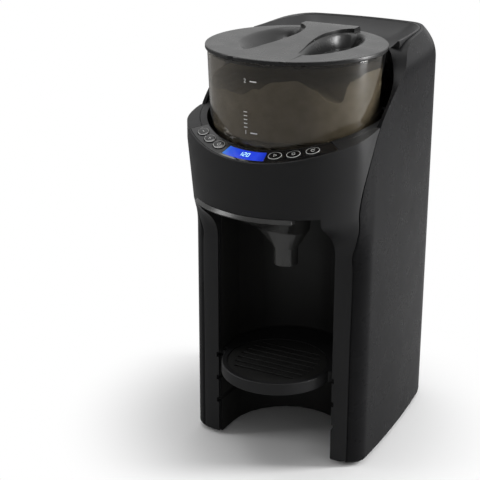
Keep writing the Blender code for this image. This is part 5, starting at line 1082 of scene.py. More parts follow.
powder = shade(powder_fill(), 60.0)
powder.data.materials.append(milk_powder)
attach(powder, "jar")
edge_levels = [z for _, z in POWDER_EDGE]
print("powder edge from", min(edge_levels), "to", max(edge_levels), "mm")

# %% [markdown]
# Repeated marks and slots come from Geometry Nodes, where the count and the pitch are inputs that
# can be changed later. Each tree here starts from nothing, makes its points, puts a piece on each
# and ends as a plain mesh. This helper makes an empty tree with named inputs, and the next one
# runs a tree with given values and keeps the mesh that it makes.

# %% Geometry Nodes helpers
def new_shape_tree(name, sockets):
    """An empty Geometry Nodes tree, its input sockets by name, and its output node."""
    tree = bpy.data.node_groups.new(name, "GeometryNodeTree")
    tree.interface.new_socket("Geometry", in_out="OUTPUT", socket_type="NodeSocketGeometry")
    tree.interface.new_socket("Geometry", in_out="INPUT", socket_type="NodeSocketGeometry")
    for label, kind in sockets.items():
        tree.interface.new_socket(label, in_out="INPUT", socket_type="NodeSocket" + kind)
    return tree, tree.nodes.new("NodeGroupInput").outputs, tree.nodes.new("NodeGroupOutput")


def end_tree(tree, out, geometry, look):
    """Close a tree: instances become real meshes, and every face gets the material."""
    real = add_node(tree, "GeometryNodeRealizeInstances", {0: geometry})
    dressed = add_node(tree, "GeometryNodeSetMaterial", {
        "Geometry": real.outputs[0], "Material": look})
    tree.links.new(dressed.outputs[0], out.inputs[0])


def grow(name, tree, values):
    """Run a tree with values for its inputs and keep the plain mesh that it makes."""
    piece = mesh_piece(name, bpy.data.meshes.new(name))
    change = piece.modifiers.new("grow", "NODES")
    change.node_group = tree
    for item in tree.interface.items_tree:
        if item.in_out == "INPUT" and item.name in values:
            change[item.identifier] = values[item.name]
    return bake(piece)


print("tree helpers ready")

# %% [markdown]
# Level marks are screen printed on the jar in white ink: a line near the top, a line near the
# bottom, a short scale over the lower one, and plain numbers beside the lines. A print is a skin of
# ink, so each mark is a thin tile. The tree lays tiles in a column and then bends them round the
# jar: how far along a tile a point lies becomes an angle, and its height sets the wall's radius.

# %% Level marks
LEVEL_LOW = 295.4 * MM
LEVEL_HIGH = 336.8 * MM
LEVEL_TURN = math.radians(-1.6)
SCALE_TURN = LEVEL_TURN - math.radians(6.0)
NUMBER_HIGH = 4.6 * MM
INK_THICK = 0.14 * MM
WALL_SLOPE = (JAR_RIM_R - JAR_BEND_R) / (JAR_RIM - JAR_BEND)


def level_tree():
    """A column of printed tiles, bent round the jar's wall."""
    tree, given, out = new_shape_tree("level_marks", {
        "Marks": "Int", "Pitch": "Float", "Width": "Float", "Height": "Float",
        "First Level": "Float", "Turn": "Float", "Ink": "Material"})
    size = add_node(tree, "ShaderNodeCombineXYZ", {
        "X": given["Width"], "Y": INK_THICK, "Z": given["Height"]})
    tile = add_node(tree, "GeometryNodeMeshCube", {"Size": size.outputs[0], "Vertices X": 9})
    start = add_node(tree, "ShaderNodeCombineXYZ", {"Z": given["First Level"]})
    step = add_node(tree, "ShaderNodeCombineXYZ", {"Z": given["Pitch"]})
    line = add_node(tree, "GeometryNodeMeshLine", {
        "Count": given["Marks"], "Start Location": start.outputs[0], "Offset": step.outputs[0]})
    laid = add_node(tree, "GeometryNodeInstanceOnPoints", {
        "Points": line.outputs[0], "Instance": tile.outputs["Mesh"]})
    real = add_node(tree, "GeometryNodeRealizeInstances", {0: laid.outputs[0]})
    place = add_node(tree, "GeometryNodeInputPosition")
    parts = add_node(tree, "ShaderNodeSeparateXYZ", {0: place.outputs[0]})
    rise = add_node(tree, "ShaderNodeMath", {
        0: parts.outputs["Z"], 1: JAR_BEND}, operation="SUBTRACT")
    wall = add_node(tree, "ShaderNodeMath", {
        0: rise.outputs[0], 1: WALL_SLOPE, 2: JAR_BEND_R + INK_THICK}, operation="MULTIPLY_ADD")
    radius = add_node(tree, "ShaderNodeMath", {
        0: wall.outputs[0], 1: parts.outputs["Y"]}, operation="SUBTRACT")
    share = add_node(tree, "ShaderNodeMath", {
        0: parts.outputs["X"], 1: wall.outputs[0]}, operation="DIVIDE")
    angle = add_node(tree, "ShaderNodeMath", {
        0: share.outputs[0], 1: given["Turn"]}, operation="ADD")
    sine = add_node(tree, "ShaderNodeMath", {0: angle.outputs[0]}, operation="SINE")
    cosine = add_node(tree, "ShaderNodeMath", {0: angle.outputs[0]}, operation="COSINE")
    across = add_node(tree, "ShaderNodeMath", {
        0: radius.outputs[0], 1: sine.outputs[0]}, operation="MULTIPLY")
    ahead = add_node(tree, "ShaderNodeMath", {
        0: radius.outputs[0], 1: cosine.outputs[0]}, operation="MULTIPLY")
    depth = add_node(tree, "ShaderNodeMath", {0: BOWL_Y, 1: ahead.outputs[0]}, operation="SUBTRACT")
    bent = add_node(tree, "ShaderNodeCombineXYZ", {
        "X": across.outputs[0], "Y": depth.outputs[0], "Z": parts.outputs["Z"]})
    moved = add_node(tree, "GeometryNodeSetPosition", {
        "Geometry": real.outputs[0], "Position": bent.outputs[0]})
    end_tree(tree, out, moved.outputs[0], given["Ink"])
    return tree


def sign_piece(name, text, size, thick):
    """Plain lettering as a closed piece, its middle at the origin, its face upwards."""
    curve = bpy.data.curves.new("sign", "FONT")
    curve.body = text
    curve.size = size
    curve.extrude = thick / 2.0
    curve.align_x, curve.align_y = "CENTER", "CENTER"
    return to_piece(name, curve_shape(curve))


def number_on_jar(text, level, turn):
    """A printed number, bent round the jar's wall."""
    piece = sign_piece("level_number_" + text, text, NUMBER_HIGH, INK_THICK)
    for vertex in piece.data.vertices:
        z = level + vertex.co.y
        radius = jar_radius(z) + INK_THICK + vertex.co.z
        angle = turn + vertex.co.x / jar_radius(z)
        vertex.co = (radius * math.sin(angle), BOWL_Y - radius * math.cos(angle), z)
    piece.data.materials.append(white_ink)
    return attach(piece, "jar")


marks = level_tree()
for name, values in (
        ("level_lines", {
            "Marks": 2, "Pitch": LEVEL_HIGH - LEVEL_LOW, "Width": 6.0 * MM, "Height": 0.9 * MM,
            "First Level": LEVEL_LOW, "Turn": LEVEL_TURN, "Ink": white_ink}),
        ("level_scale", {
            "Marks": 5, "Pitch": 3.1 * MM, "Width": 3.2 * MM, "Height": 0.6 * MM,
            "First Level": LEVEL_LOW + 4.2 * MM, "Turn": SCALE_TURN, "Ink": white_ink})):
    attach(grow(name, marks, values), "jar")
for text, level in (("1", LEVEL_LOW), ("2", LEVEL_HIGH)):
    number_on_jar(text, level, SCALE_TURN)
print("level marks printed")

# %% [markdown]
# The lid is one moulding: a round plate with a soft rim, a plug that fits the jar's mouth, and a
# grip across the middle between two finger scoops. Each scoop is steep beside the grip and fades
# out towards the rim, so it is lofted from a small floor outline up to a wide top outline. Cutting
# both scoops out of a wide grip leaves its waisted shape, as pressing two thumbs in would.

# %% Jar lid
LID_LOW = JAR_RIM + CLEAR
LID_HIGH = LID_LOW + 3.5 * MM
LID_R = JAR_RIM_R + 1.8 * MM
PLUG_R = JAR_RIM_R - JAR_WALL - 2.0 * CLEAR
PLUG_LOW = LID_LOW - 3.0 * MM
GRIP_HALF = 25.0 * MM
GRIP_FRONT = BOWL_Y - LID_R + 3.0 * MM
GRIP_BACK = BOWL_Y + LID_R - 4.3 * MM
GRIP_RISE = 3.5 * MM
GRIP_STEPS = 24
SCOOP_DEEP = 11.5 * MM
SCOOP_POWER = 1.5
SCOOP_WALL = 2.0 * MM
SCOOP_MIDDLE = (27.0, -24.0)
SCOOP_TOP = (
    (22, -74), (17, -54), (12.6, -33), (10, -8), (13, 11), (18, 21), (25, 27),
    (34, 24), (43, 13), (48.5, -4), (50, -22), (47, -42), (40, -59), (31, -71),
)
SCOOP_FLOOR = (
    (25, -60), (20.5, -50), (16.5, -33), (14.5, -8), (16.5, 6), (20.5, 14), (25.5, 18),
    (30, 15), (33, 6), (35, -6), (35.5, -20), (34.5, -36), (32.5, -48), (29, -57),
)
SCOOP_LEVELS = (0.0, 0.06, 0.15, 0.27, 0.4, 0.55, 0.7, 0.85, 1.0)


def closed_curve(points, steps=6):
    """Smooth closed line through points, with the same steps in each stretch."""
    spots = [Vector(point) for point in points]
    ring = [spots[-1]] + spots + spots[:2]
    line = []
    for index in range(len(spots)):
        line += catmull_rom(*ring[index:index + 4], steps)
    return line


def scoop_form(side, grow, high):
    """A finger scoop as a solid, grown by a wall, its top carried on to a height."""
    middle = Vector(SCOOP_MIDDLE)
    top, floor = closed_curve(SCOOP_TOP), closed_curve(SCOOP_FLOOR)
    rings = []
    levels = [(share, LID_HIGH - SCOOP_DEEP * (1.0 - share) ** SCOOP_POWER - grow)
              for share in SCOOP_LEVELS]
    for share, z in levels + [(1.0, high)]:
        ring = []
        for above, below in zip(top, floor):
            point = below + (above - below) * share
            point = middle + (point - middle) * (1.0 + grow / MM / (point - middle).length)
            ring.append(Vector((side * point.x * MM, point.y * MM, z)))
        rings.append(ring if side > 0.0 else list(reversed(ring)))
    return loft("scoop", rings)


def lid_moulding():
    """Rimmed plate, plug, rising grip and the two scoops with their walls."""
    soft = 0.9 * MM
    plug_in = PLUG_R - SCOOP_WALL
    profile = [(0.0, LID_LOW + CLEAR), (plug_in, LID_LOW + CLEAR), (plug_in, PLUG_LOW),
               (PLUG_R, PLUG_LOW), (PLUG_R, LID_LOW), (LID_R - soft, LID_LOW)]
    profile += [(LID_R - 0.25 * MM, LID_LOW + 0.25 * MM), (LID_R, LID_LOW + 0.8 * MM)]
    profile += arc((LID_R - soft, LID_HIGH - soft), soft, 0.0, math.pi / 2.0, 6) + [(0.0, LID_HIGH)]
    lid = turned("container_lid_moulding", profile, JAR_AXIS)
    rows = even_steps(GRIP_FRONT, GRIP_BACK - GRIP_FRONT, GRIP_STEPS)
    section = [(y, LID_HIGH + GRIP_RISE * ease(step / GRIP_STEPS)) for step, y in enumerate(rows)]
    end, root = GRIP_BACK + 2.6 * MM, LID_LOW + 1.0 * MM
    section += [(GRIP_BACK + 1.0 * MM, LID_HIGH + GRIP_RISE - 0.7 * MM),
                (end, LID_HIGH - CLEAR), (end, root), (GRIP_FRONT, root)]
    combine(lid, plate("grip", section, -GRIP_HALF, GRIP_HALF, SIDE_TURN), "UNION")
    for side in (-1.0, 1.0):
        combine(lid, scoop_form(side, SCOOP_WALL, LID_HIGH - 1.0 * MM), "UNION")
    for side in (-1.0, 1.0):
        combine(lid, scoop_form(side, 0.0, LID_HIGH + GRIP_RISE + OVERRUN))
    return lid


place_on(shade(lid_moulding(), 40.0), "container_lid", lid_abs)
print("lid with two scoops made")

# %% [markdown]
# The panel is a thin gloss plate. It lies on the crowned deck, so it
# is the crescent's plan cut out of two crowned surfaces, with six oval holes and the window's
# hole. The six keys are domed caps: an oval lofted upwards, each ring a little smaller and higher
# than the one before and still following the crown below it.

# %% Control panel
DISPLAY_RIM = 1.2 * MM
KEY_STEM_R = 2.0 * MM
# Share of the way from a key's middle to its edge, and rise over the crown in millimetres.
DOME = (
    (1.0, -3.0), (1.0, 0.35), (0.985, 0.55), (0.94, 0.75), (0.86, 0.88), (0.6, 0.98), (0.3, 1.02),
)


def display_plan(rim):
    """Plan of the display, drawn in from its window by a rim."""
    turn = rim / PANEL_R
    start, end = WINDOW_FROM + turn, WINDOW_TO - turn
    return polar_band(WINDOW_IN_R + rim, WINDOW_OUT_R - rim, start, end, 24)


def key_cap(number, degrees):
    """A domed oval cap that follows the crown of the deck."""
    middle = Vector(panel_spot(degrees)[:2])
    rings = []
    for share, rise in DOME:
        ring = []
        for x, y in oval_plan(degrees, 0.0, 56):
            spot = middle + (Vector((x, y)) - middle) * share
            ring.append(Vector((spot.x, spot.y, crown_z(spot.y) + rise * MM)))
        rings.append(ring)
    return loft("button_%d_moulding" % number, rings)


def panel_moulding():
    """The gloss plate with its seven holes."""
    panel = crowned_plate("control_fascia_moulding", fascia_plan(0.0), 0.0, FASCIA_THICK)
    for degrees in BUTTON_ANGLES:
        outline = oval_plan(degrees, BUTTON_CLEAR)
        combine(panel, crowned_plate("key_hole", outline, -OVERRUN / 2.0, OVERRUN))
    window = display_plan(-CLEAR)
    return combine(panel, crowned_plate("window_hole", window, -OVERRUN / 2.0, OVERRUN))


place_on(shade(panel_moulding()), "control_fascia", panel_acrylic)
place_on(shade(crowned_plate("display_window_moulding", display_plan(0.0), 0.0, FASCIA_THICK)),
         "display_window", display_lit)
for number, degrees in enumerate(BUTTON_ANGLES, start=1):
    place_on(shade(key_cap(number, degrees), 50.0), "button_%d" % number, panel_acrylic)
print("panel with", len(BUTTON_ANGLES), "keys made")

# %% [markdown]
# Each key carries a thin printed oval and a plain sign in it: less, more, a drop, a triangle for
# start, a square for stop and a turning arc. A sign is a few strokes: a stroke is a short chain of
# points with a width, laid on the dome as a thin ribbon of ink. They ride with their keys.

# %% Key signs
SIGN_LIFT = 0.03 * MM
SIGN_THICK = 0.12 * MM
OUTLINE_SHARE = 0.92
OUTLINE_WIDE = 0.24
SIGN_WIDE = 0.34


def dome_height(share):
    """Height of a cap over the crown at a share of the way from its middle to its edge."""
    steps = DOME[1:][::-1]
    for (near, high), (far, low) in zip(steps, steps[1:]):
        if near <= share <= far:
            return (high + (low - high) * (share - near) / (far - near)) * MM
    return DOME[-1][1] * MM if share < steps[0][0] else DOME[1][1] * MM


def panel_point(degrees, along, across, rise=0.0):
    """Point over the crowned panel; along and across are in millimetres from a spot on it."""
    x, y, _ = panel_spot(degrees)
    turn = math.radians(degrees)
    px = x + (along * math.cos(turn) - across * math.sin(turn)) * MM
    py = y + (along * math.sin(turn) + across * math.cos(turn)) * MM
    return Vector((px, py, crown_z(py) + rise + SIGN_LIFT))


def key_point(degrees, along, across):
    """Point on a key's dome; along and across are in millimetres from its middle."""
    share = math.hypot(2.0 * along * MM / BUTTON_LONG, 2.0 * across * MM / BUTTON_WIDE)
    return panel_point(degrees, along, across, dome_height(share))


def ribbon(shape, points, width, place, closed=False):
    """A flat stroke of ink along flat points, laid by a function that gives the place of each."""
    count = len(points)
    rows = []
    for index, point in enumerate(points):
        before = points[(index - 1) % count] if closed or index else point
        after = points[(index + 1) % count] if closed or index < count - 1 else point
        way = (Vector(after) - Vector(before)).normalized()
        side = Vector((-way.y, way.x)) * width / 2.0
        left, right = place(*(Vector(point) + side)), place(*(Vector(point) - side))
        up = Vector((0.0, 0.0, SIGN_THICK))
        rows.append([shape.verts.new(spot) for spot in (left, right, right + up, left + up)])
    for index in range(count if closed else count - 1):
        row, after = rows[index], rows[(index + 1) % count]
        for corner in range(4):
            turn = (corner + 1) % 4
            shape.faces.new((row[corner], row[turn], after[turn], after[corner]))
    if not closed:
        shape.faces.new(rows[0])
        shape.faces.new(list(reversed(rows[-1])))


def round_line(reach_x, reach_y, start=0.0, end=360.0, steps=40, middle=(0.0, 0.0)):
    """Points of an oval or of a piece of one, in millimetres."""
    angles = [math.radians(value) for value in even_steps(start, end - start, steps)]
    return [(middle[0] + reach_x * math.cos(a), middle[1] + reach_y * math.sin(a)) for a in angles]


DROP_ROUND = round_line(1.1, 1.1, 20.0, -200.0, 14, (0.0, -0.35))
SIGNS = {
    1: [([(-1.4, 0.0), (1.4, 0.0)], False)],
    2: [([(-1.4, 0.0), (1.4, 0.0)], False), ([(0.0, -1.4), (0.0, 1.4)], False)],
    3: [([(0.0, 1.9), (0.65, 0.7)] + DROP_ROUND + [(-0.65, 0.7)], True)],
    4: [([(-0.9, -1.3), (1.4, 0.0), (-0.9, 1.3)], True)],
    5: [([(-1.1, -1.1), (1.1, -1.1), (1.1, 1.1), (-1.1, 1.1)], True)],
    6: [(round_line(1.4, 1.4, 40.0, 320.0, 18), False),
        ([(1.9, 1.7), (1.1, 0.75), (0.2, 1.35)], False)],
}


def ink_piece(name, strokes, width, place, ink):
    """A mesh of printed strokes."""
    shape = bmesh.new()
    for points, closed in strokes:
        ribbon(shape, points, width, place, closed)
    piece = to_piece(name, shape)
    piece.data.materials.append(ink)
    return piece


reach_x, reach_y = (OUTLINE_SHARE * size / MM / 2.0 for size in (BUTTON_LONG, BUTTON_WIDE))
OVAL = [(round_line(reach_x, reach_y)[:-1], True)]
for number, degrees in enumerate(BUTTON_ANGLES, start=1):
    place = functools.partial(key_point, degrees)
    outline = ink_piece("key_outline_%d" % number, OVAL, OUTLINE_WIDE, place, white_ink)
    sign = ink_piece("key_sign_%d" % number, SIGNS[number], SIGN_WIDE, place, white_ink)
    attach(outline, "key_%d" % number)
    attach(sign, "key_%d" % number)
print("signs on", len(SIGNS), "keys")

# %% [markdown]
# The display shows plain digits built of seven bars each, as such cells do. The pattern for each
# digit is a string of bar letters, and a bar is again a stroke of ink, here a lit one.

# %% Digits
BARS = {
    "a": ((-1, 2), (1, 2)), "b": ((1, 2), (1, 0)), "c": ((1, 0), (1, -2)), "d": ((-1, -2), (1, -2)),
    "e": ((-1, 0), (-1, -2)), "f": ((-1, 2), (-1, 0)), "g": ((-1, 0), (1, 0)),
}
DIGITS = {"1": "bc", "2": "abged", "0": "abcdef"}
BAR_WIDE = 0.5
DIGIT_HALF = 0.95
DIGIT_PITCH = 3.3
READING = "120"
READING_DEGREES = -3.4


def reading_strokes():
    """Strokes of the reading's digits, side by side."""
    strokes = []
    for place, digit in enumerate(READING):
        shift = (place - (len(READING) - 1) / 2.0) * DIGIT_PITCH
        for bar in DIGITS[digit]:
            ends = [(shift + x * DIGIT_HALF, y * DIGIT_HALF) for x, y in BARS[bar]]
            strokes.append((ends, False))
    return strokes


digits = ink_piece("display_reading", reading_strokes(), BAR_WIDE,
                   functools.partial(panel_point, READING_DEGREES), lit_sign)
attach(digits, "machine")
print("display reads", READING)

# %% [markdown]
# The top deck is the crowned ring that the jar stands in. It is a disc under the same crown as the
# nose, with the jar's pocket sunk in it and the panel's recess and the ways of keys and display
# let through.

# %% Top deck
POCKET_R = JAR_RIM_R + 0.5 * MM
POCKET_FLOOR = 278.5 * MM
DECK_LOW = 268.0 * MM
DECK_FLOOR = 3.0 * MM
KEY_TRAVEL = 0.8 * MM
BOARD_IN_R = 62.0 * MM
BOARD_OUT_R = 80.2 * MM
BOARD_HALF = math.radians(44.0)
DISPLAY_CUT = 1.4 * MM
DISPLAY_THICK = 4.0 * MM
DISPLAY_FRONT_Z = crown_z(BOWL_Y - WINDOW_OUT_R + DISPLAY_CUT)
BOARD_TOP = DISPLAY_FRONT_Z - FASCIA_THICK - DISPLAY_THICK - 2.0 * CLEAR


def deck_moulding():
    """Crowned ring with a pocket, the panel's recess and the ways under the panel."""
    deck = rod("top_deck_moulding", JAR_AXIS, WELL_R - CLEAR, DECK_LOW, CROWN_TOP + OVERRUN, 144)
    end = BOWL_Y + WELL_R + OVERRUN
    rows = even_steps(FRONT_LIMIT_Y, end - FRONT_LIMIT_Y, 60)
    low = DECK_LOW - OVERRUN
    under = [(FRONT_LIMIT_Y, low)] + [(y, crown_z(y)) for y in rows] + [(end, low)]
    combine(deck, side_prism(under), "INTERSECT")
    combine(deck, rod("pocket", JAR_AXIS, POCKET_R, POCKET_FLOOR, CROWN_TOP + OVERRUN, TURN_STEPS))
    under_r = WELL_R - CLEAR - WALL
    combine(deck, rod("under", JAR_AXIS, under_r, low, POCKET_FLOOR - DECK_FLOOR, TURN_STEPS))
    recess = fascia_plan(CLEAR)
    combine(deck, crowned_plate("deck_recess", recess, -OVERRUN, OVERRUN + FASCIA_THICK + CLEAR))
    for degrees in BUTTON_ANGLES:
        way = oval_plan(degrees, BUTTON_CLEAR)
        depth = BUTTON_DEEP + KEY_TRAVEL + CLEAR
        combine(deck, crowned_plate("key_way", way, -OVERRUN / 2.0, OVERRUN / 2.0 + depth))
        spot = panel_spot(degrees)
        stem_r = KEY_STEM_R + BUTTON_CLEAR
        combine(deck, rod("stem_way", spot[:2], stem_r, WELL_BOTTOM, spot[2], 24))
    combine(deck, plate("display_way", display_plan(DISPLAY_RIM), WELL_BOTTOM, CROWN_TOP))
    half = BOARD_HALF + CLEAR / PANEL_R
    band = polar_band(BOARD_IN_R - CLEAR, BOARD_OUT_R + CLEAR, -half, half, 40)
    combine(deck, plate("board_way", band, DECK_LOW - OVERRUN, BOARD_TOP + CLEAR))
    for spot, radius in FLOOR_HOLES:
        combine(deck, rod("hole", spot, radius, DECK_LOW, POCKET_FLOOR + OVERRUN, 48))
    return deck


place_on(shade(deck_moulding()), "top_deck", charcoal_abs)
print("top deck made")

# %% [markdown]
# The funnel is a drawer that slides under the nose: a flat crescent lip to pull it by, a hopper
# that narrows in two slopes, and a round spout. The hopper is a loft whose rings share one list of
# angles, so that the wide top outline, the oval break and the round spout join without a twist.

# %% Funnel
FUNNEL_TOP = ALCOVE_TOP - CLEAR
FLANGE = 3.4 * MM
FUNNEL_WALL = 1.8 * MM
LIP_R = NOSE_LOW_R + 2.4 * MM
LIP_LEFT, LIP_RIGHT = -54.0 * MM, 36.3 * MM
TIP_LEFT = -60.0 * MM
TIP_WIDE = 1.4 * MM
LIP_LEAN = 2.2 * MM
HOPPER_R = LIP_R - 3.0 * MM
HOPPER_LEFT, HOPPER_RIGHT = -50.0 * MM, 34.0 * MM
HOPPER_WAIST, HOPPER_WAIST_Y = 25.5 * MM, -60.0 * MM
HOPPER_BACK, HOPPER_BACK_Y = 20.0 * MM, -30.0 * MM
STRIP_HALF, STRIP_FRONT_Y, STRIP_BACK_Y = 30.0 * MM, -66.6 * MM, -27.0 * MM
BREAK_X, BREAK_Y, BREAK_Z = (-26.0 * MM, 21.0 * MM), (-64.0 * MM, -35.0 * MM), 201.0 * MM
SPOUT = (1.0 * MM, -49.0 * MM)
SPOUT_R = 10.5 * MM
SPOUT_LOW, SPOUT_HIGH = 170.0 * MM, 185.0 * MM
RAIL_WEB = 2.4 * MM
BREAK_POWER = 2.6
# The upper slope cuts the wall at a slant, so in plan it is this much wider.
SLANT = 1.6


def hopper_radius(angle, plan, wall, shape):
    """Reach of a hopper section from the spout's axis at an angle."""
    if shape == "spout":
        return SPOUT_R - wall
    if shape == "top":
        return plan[angle] - wall * SLANT
    half_x = (BREAK_X[1] - SPOUT[0] if math.cos(angle) > 0.0 else SPOUT[0] - BREAK_X[0]) - wall
    half_y = (BREAK_Y[1] - SPOUT[1] if math.sin(angle) > 0.0 else SPOUT[1] - BREAK_Y[0]) - wall
    power = (abs(math.cos(angle)) / half_x) ** BREAK_POWER
    power += (abs(math.sin(angle)) / half_y) ** BREAK_POWER
    return power ** (-1.0 / BREAK_POWER)


def hopper_plan():
    """The top outline as angle and reach from the spout's axis, in fine even steps."""
    quarter = -math.pi / 2.0
    left, right = (quarter + math.asin(x / HOPPER_R) for x in (HOPPER_LEFT, HOPPER_RIGHT))
    outline = arc((0.0, BOWL_Y), HOPPER_R, left, right, 40)
    outline += [(HOPPER_WAIST, HOPPER_WAIST_Y), (HOPPER_BACK, HOPPER_BACK_Y),
                (-HOPPER_BACK, HOPPER_BACK_Y), (-HOPPER_WAIST, HOPPER_WAIST_Y)]
    plan = {}
    for start, end in zip(outline, outline[1:] + outline[:1]):
        first = Vector((start[0] - SPOUT[0], start[1] - SPOUT[1]))
        last = Vector((end[0] - SPOUT[0], end[1] - SPOUT[1]))
        steps = max(1, math.ceil(first.angle(last) / math.radians(4.0)))
        for step in range(steps):
            spot = first.lerp(last, step / steps)
            plan[math.atan2(spot.y, spot.x)] = spot.length
    return plan


def hopper_form(name, wall, levels):
    """Loft of the hopper through the given sections."""
    plan = hopper_plan()
    rings = []
    for shape, z in levels:
        ring = []
        for angle in plan:
            reach = hopper_radius(angle, plan, wall, shape)
            x, y = SPOUT[0] + reach * math.cos(angle), SPOUT[1] + reach * math.sin(angle)
            ring.append(Vector((x, y, z)))
        rings.append(ring)
    return loft(name, rings)


def lip_ring(lean, z):
    """Outline of the flat lip and its sliding strip, its front drawn in by a lean."""
    quarter = -math.pi / 2.0
    left, right = (quarter + math.asin(x / LIP_R) for x in (LIP_LEFT, LIP_RIGHT))
    outline = arc((0.0, BOWL_Y), LIP_R - lean, left, right, 60)
    outline += [(HOPPER_RIGHT + RAIL_WEB, STRIP_FRONT_Y), (STRIP_HALF, STRIP_FRONT_Y),
                (STRIP_HALF, STRIP_BACK_Y), (-STRIP_HALF, STRIP_BACK_Y),
                (-STRIP_HALF, STRIP_FRONT_Y), (HOPPER_LEFT + RAIL_WEB, STRIP_FRONT_Y)]
    return [Vector((x, y, z)) for x, y in outline]


def funnel_moulding():
    """Lip, tip, hopper and spout."""
    low = FUNNEL_TOP - FLANGE
    funnel = hopper_form("funnel_moulding", 0.0, (
        ("spout", SPOUT_LOW), ("spout", SPOUT_HIGH), ("break", BREAK_Z), ("top", low + CLEAR)))
    levels = ((0.0, low), (0.0, low + 0.7 * MM), (LIP_LEAN, FUNNEL_TOP))
    combine(funnel, loft("lip", [lip_ring(lean, z) for lean, z in levels]), "UNION")
    tip, start = math.asin(TIP_LEFT / LIP_R), math.asin(LIP_LEFT / LIP_R) + TIP_WIDE / PANEL_R
    bands = []
    for lean, z in levels:
        plan = polar_band(LIP_R - lean - TIP_WIDE, LIP_R - lean, tip, start, 12)
        bands.append([Vector((x, y, z)) for x, y in plan])
    combine(funnel, loft("tip", bands), "UNION")
    return combine(funnel, hopper_form("inside", FUNNEL_WALL, (
        ("spout", SPOUT_LOW - OVERRUN), ("spout", SPOUT_HIGH), ("break", BREAK_Z), ("top", low),
        ("top", FUNNEL_TOP + OVERRUN))))


place_on(shade(funnel_moulding(), 26.0), "funnel", funnel_abs)
print("funnel made")

# %% [markdown]
# The bottle stand slides on ribs in the alcove's grooves and holds a drip plate. It is a plan with
# a thickness, round at the front, with the plate's seat and a drip cup sunk in it; the upper edge
# gets a soft round, since hands wipe over it. The plate's slots repeat, so they grow from Geometry
# Nodes: a row of points, a box on each as long as the disc allows there, cut out of the disc.

# %% Bottle stand
STAND_Y = -61.0 * MM
STAND_R = 48.0 * MM
STAND_REAR_HALF = ALCOVE_HALF - 0.8 * MM
DRIP_PLATE_R = STAND_R - 5.0 * MM
DRIP_PLATE_THICK = 2.4 * MM
DRIP_PLATE_SINK = 0.6 * MM
SHOULDER_Y = -57.8 * MM
EDGE_ROUND = 1.0 * MM


def stand_plan(inset):
    """Plan of the stand, drawn in by an amount."""
    front = arc((0.0, STAND_Y), STAND_R - inset, -math.pi, 0.0, 72)
    rear = arc((0.0, ALCOVE_Y), STAND_REAR_HALF - inset, 0.0, math.pi, 72)
    half = STAND_REAR_HALF - inset
    return front + [(half, SHOULDER_Y + inset)] + rear + [(-half, SHOULDER_Y + inset)]


def stand_moulding():
    """The stand with its seat, drip cup and ribs."""
    low = STAND_TOP - STAND_BAND
    levels = [(EDGE_ROUND * 0.6, low), (0.0, low + EDGE_ROUND * 0.6)]
    for turn in (math.radians(degrees) for degrees in (0, 22, 45, 68, 90)):
        levels.append((EDGE_ROUND * (1.0 - math.cos(turn)),
                       STAND_TOP - EDGE_ROUND * (1.0 - math.sin(turn))))
    rings = [[Vector((x, y, z)) for x, y in stand_plan(inset)] for inset, z in levels]
    stand = loft("bottle_stand_moulding", rings)
    sunk = STAND_TOP - DRIP_PLATE_SINK - DRIP_PLATE_THICK - CLEAR
    centre = (0.0, STAND_Y)
    combine(stand, rod("seat", centre, DRIP_PLATE_R + CLEAR, sunk, STAND_TOP + OVERRUN, 120))
    combine(stand, rod("cup", centre, DRIP_PLATE_R - WALL, low + 2.0 * MM, STAND_TOP, 120))
    middle = STAND_TOP - STAND_BAND / 2.0
    half_high = RAIL_HIGH / 2.0 - CLEAR
    reach = ALCOVE_HALF + RAIL_DEEP - CLEAR
    for side in (-1.0, 1.0):
        near, far = sorted((side * (STAND_REAR_HALF - WALL), side * reach))
        rib = block((near, SHOULDER_Y - WALL + CLEAR, middle - half_high),
                    (far, RAIL_BACK_Y - CLEAR, middle + half_high))
        combine(stand, rib, "UNION")
    return stand


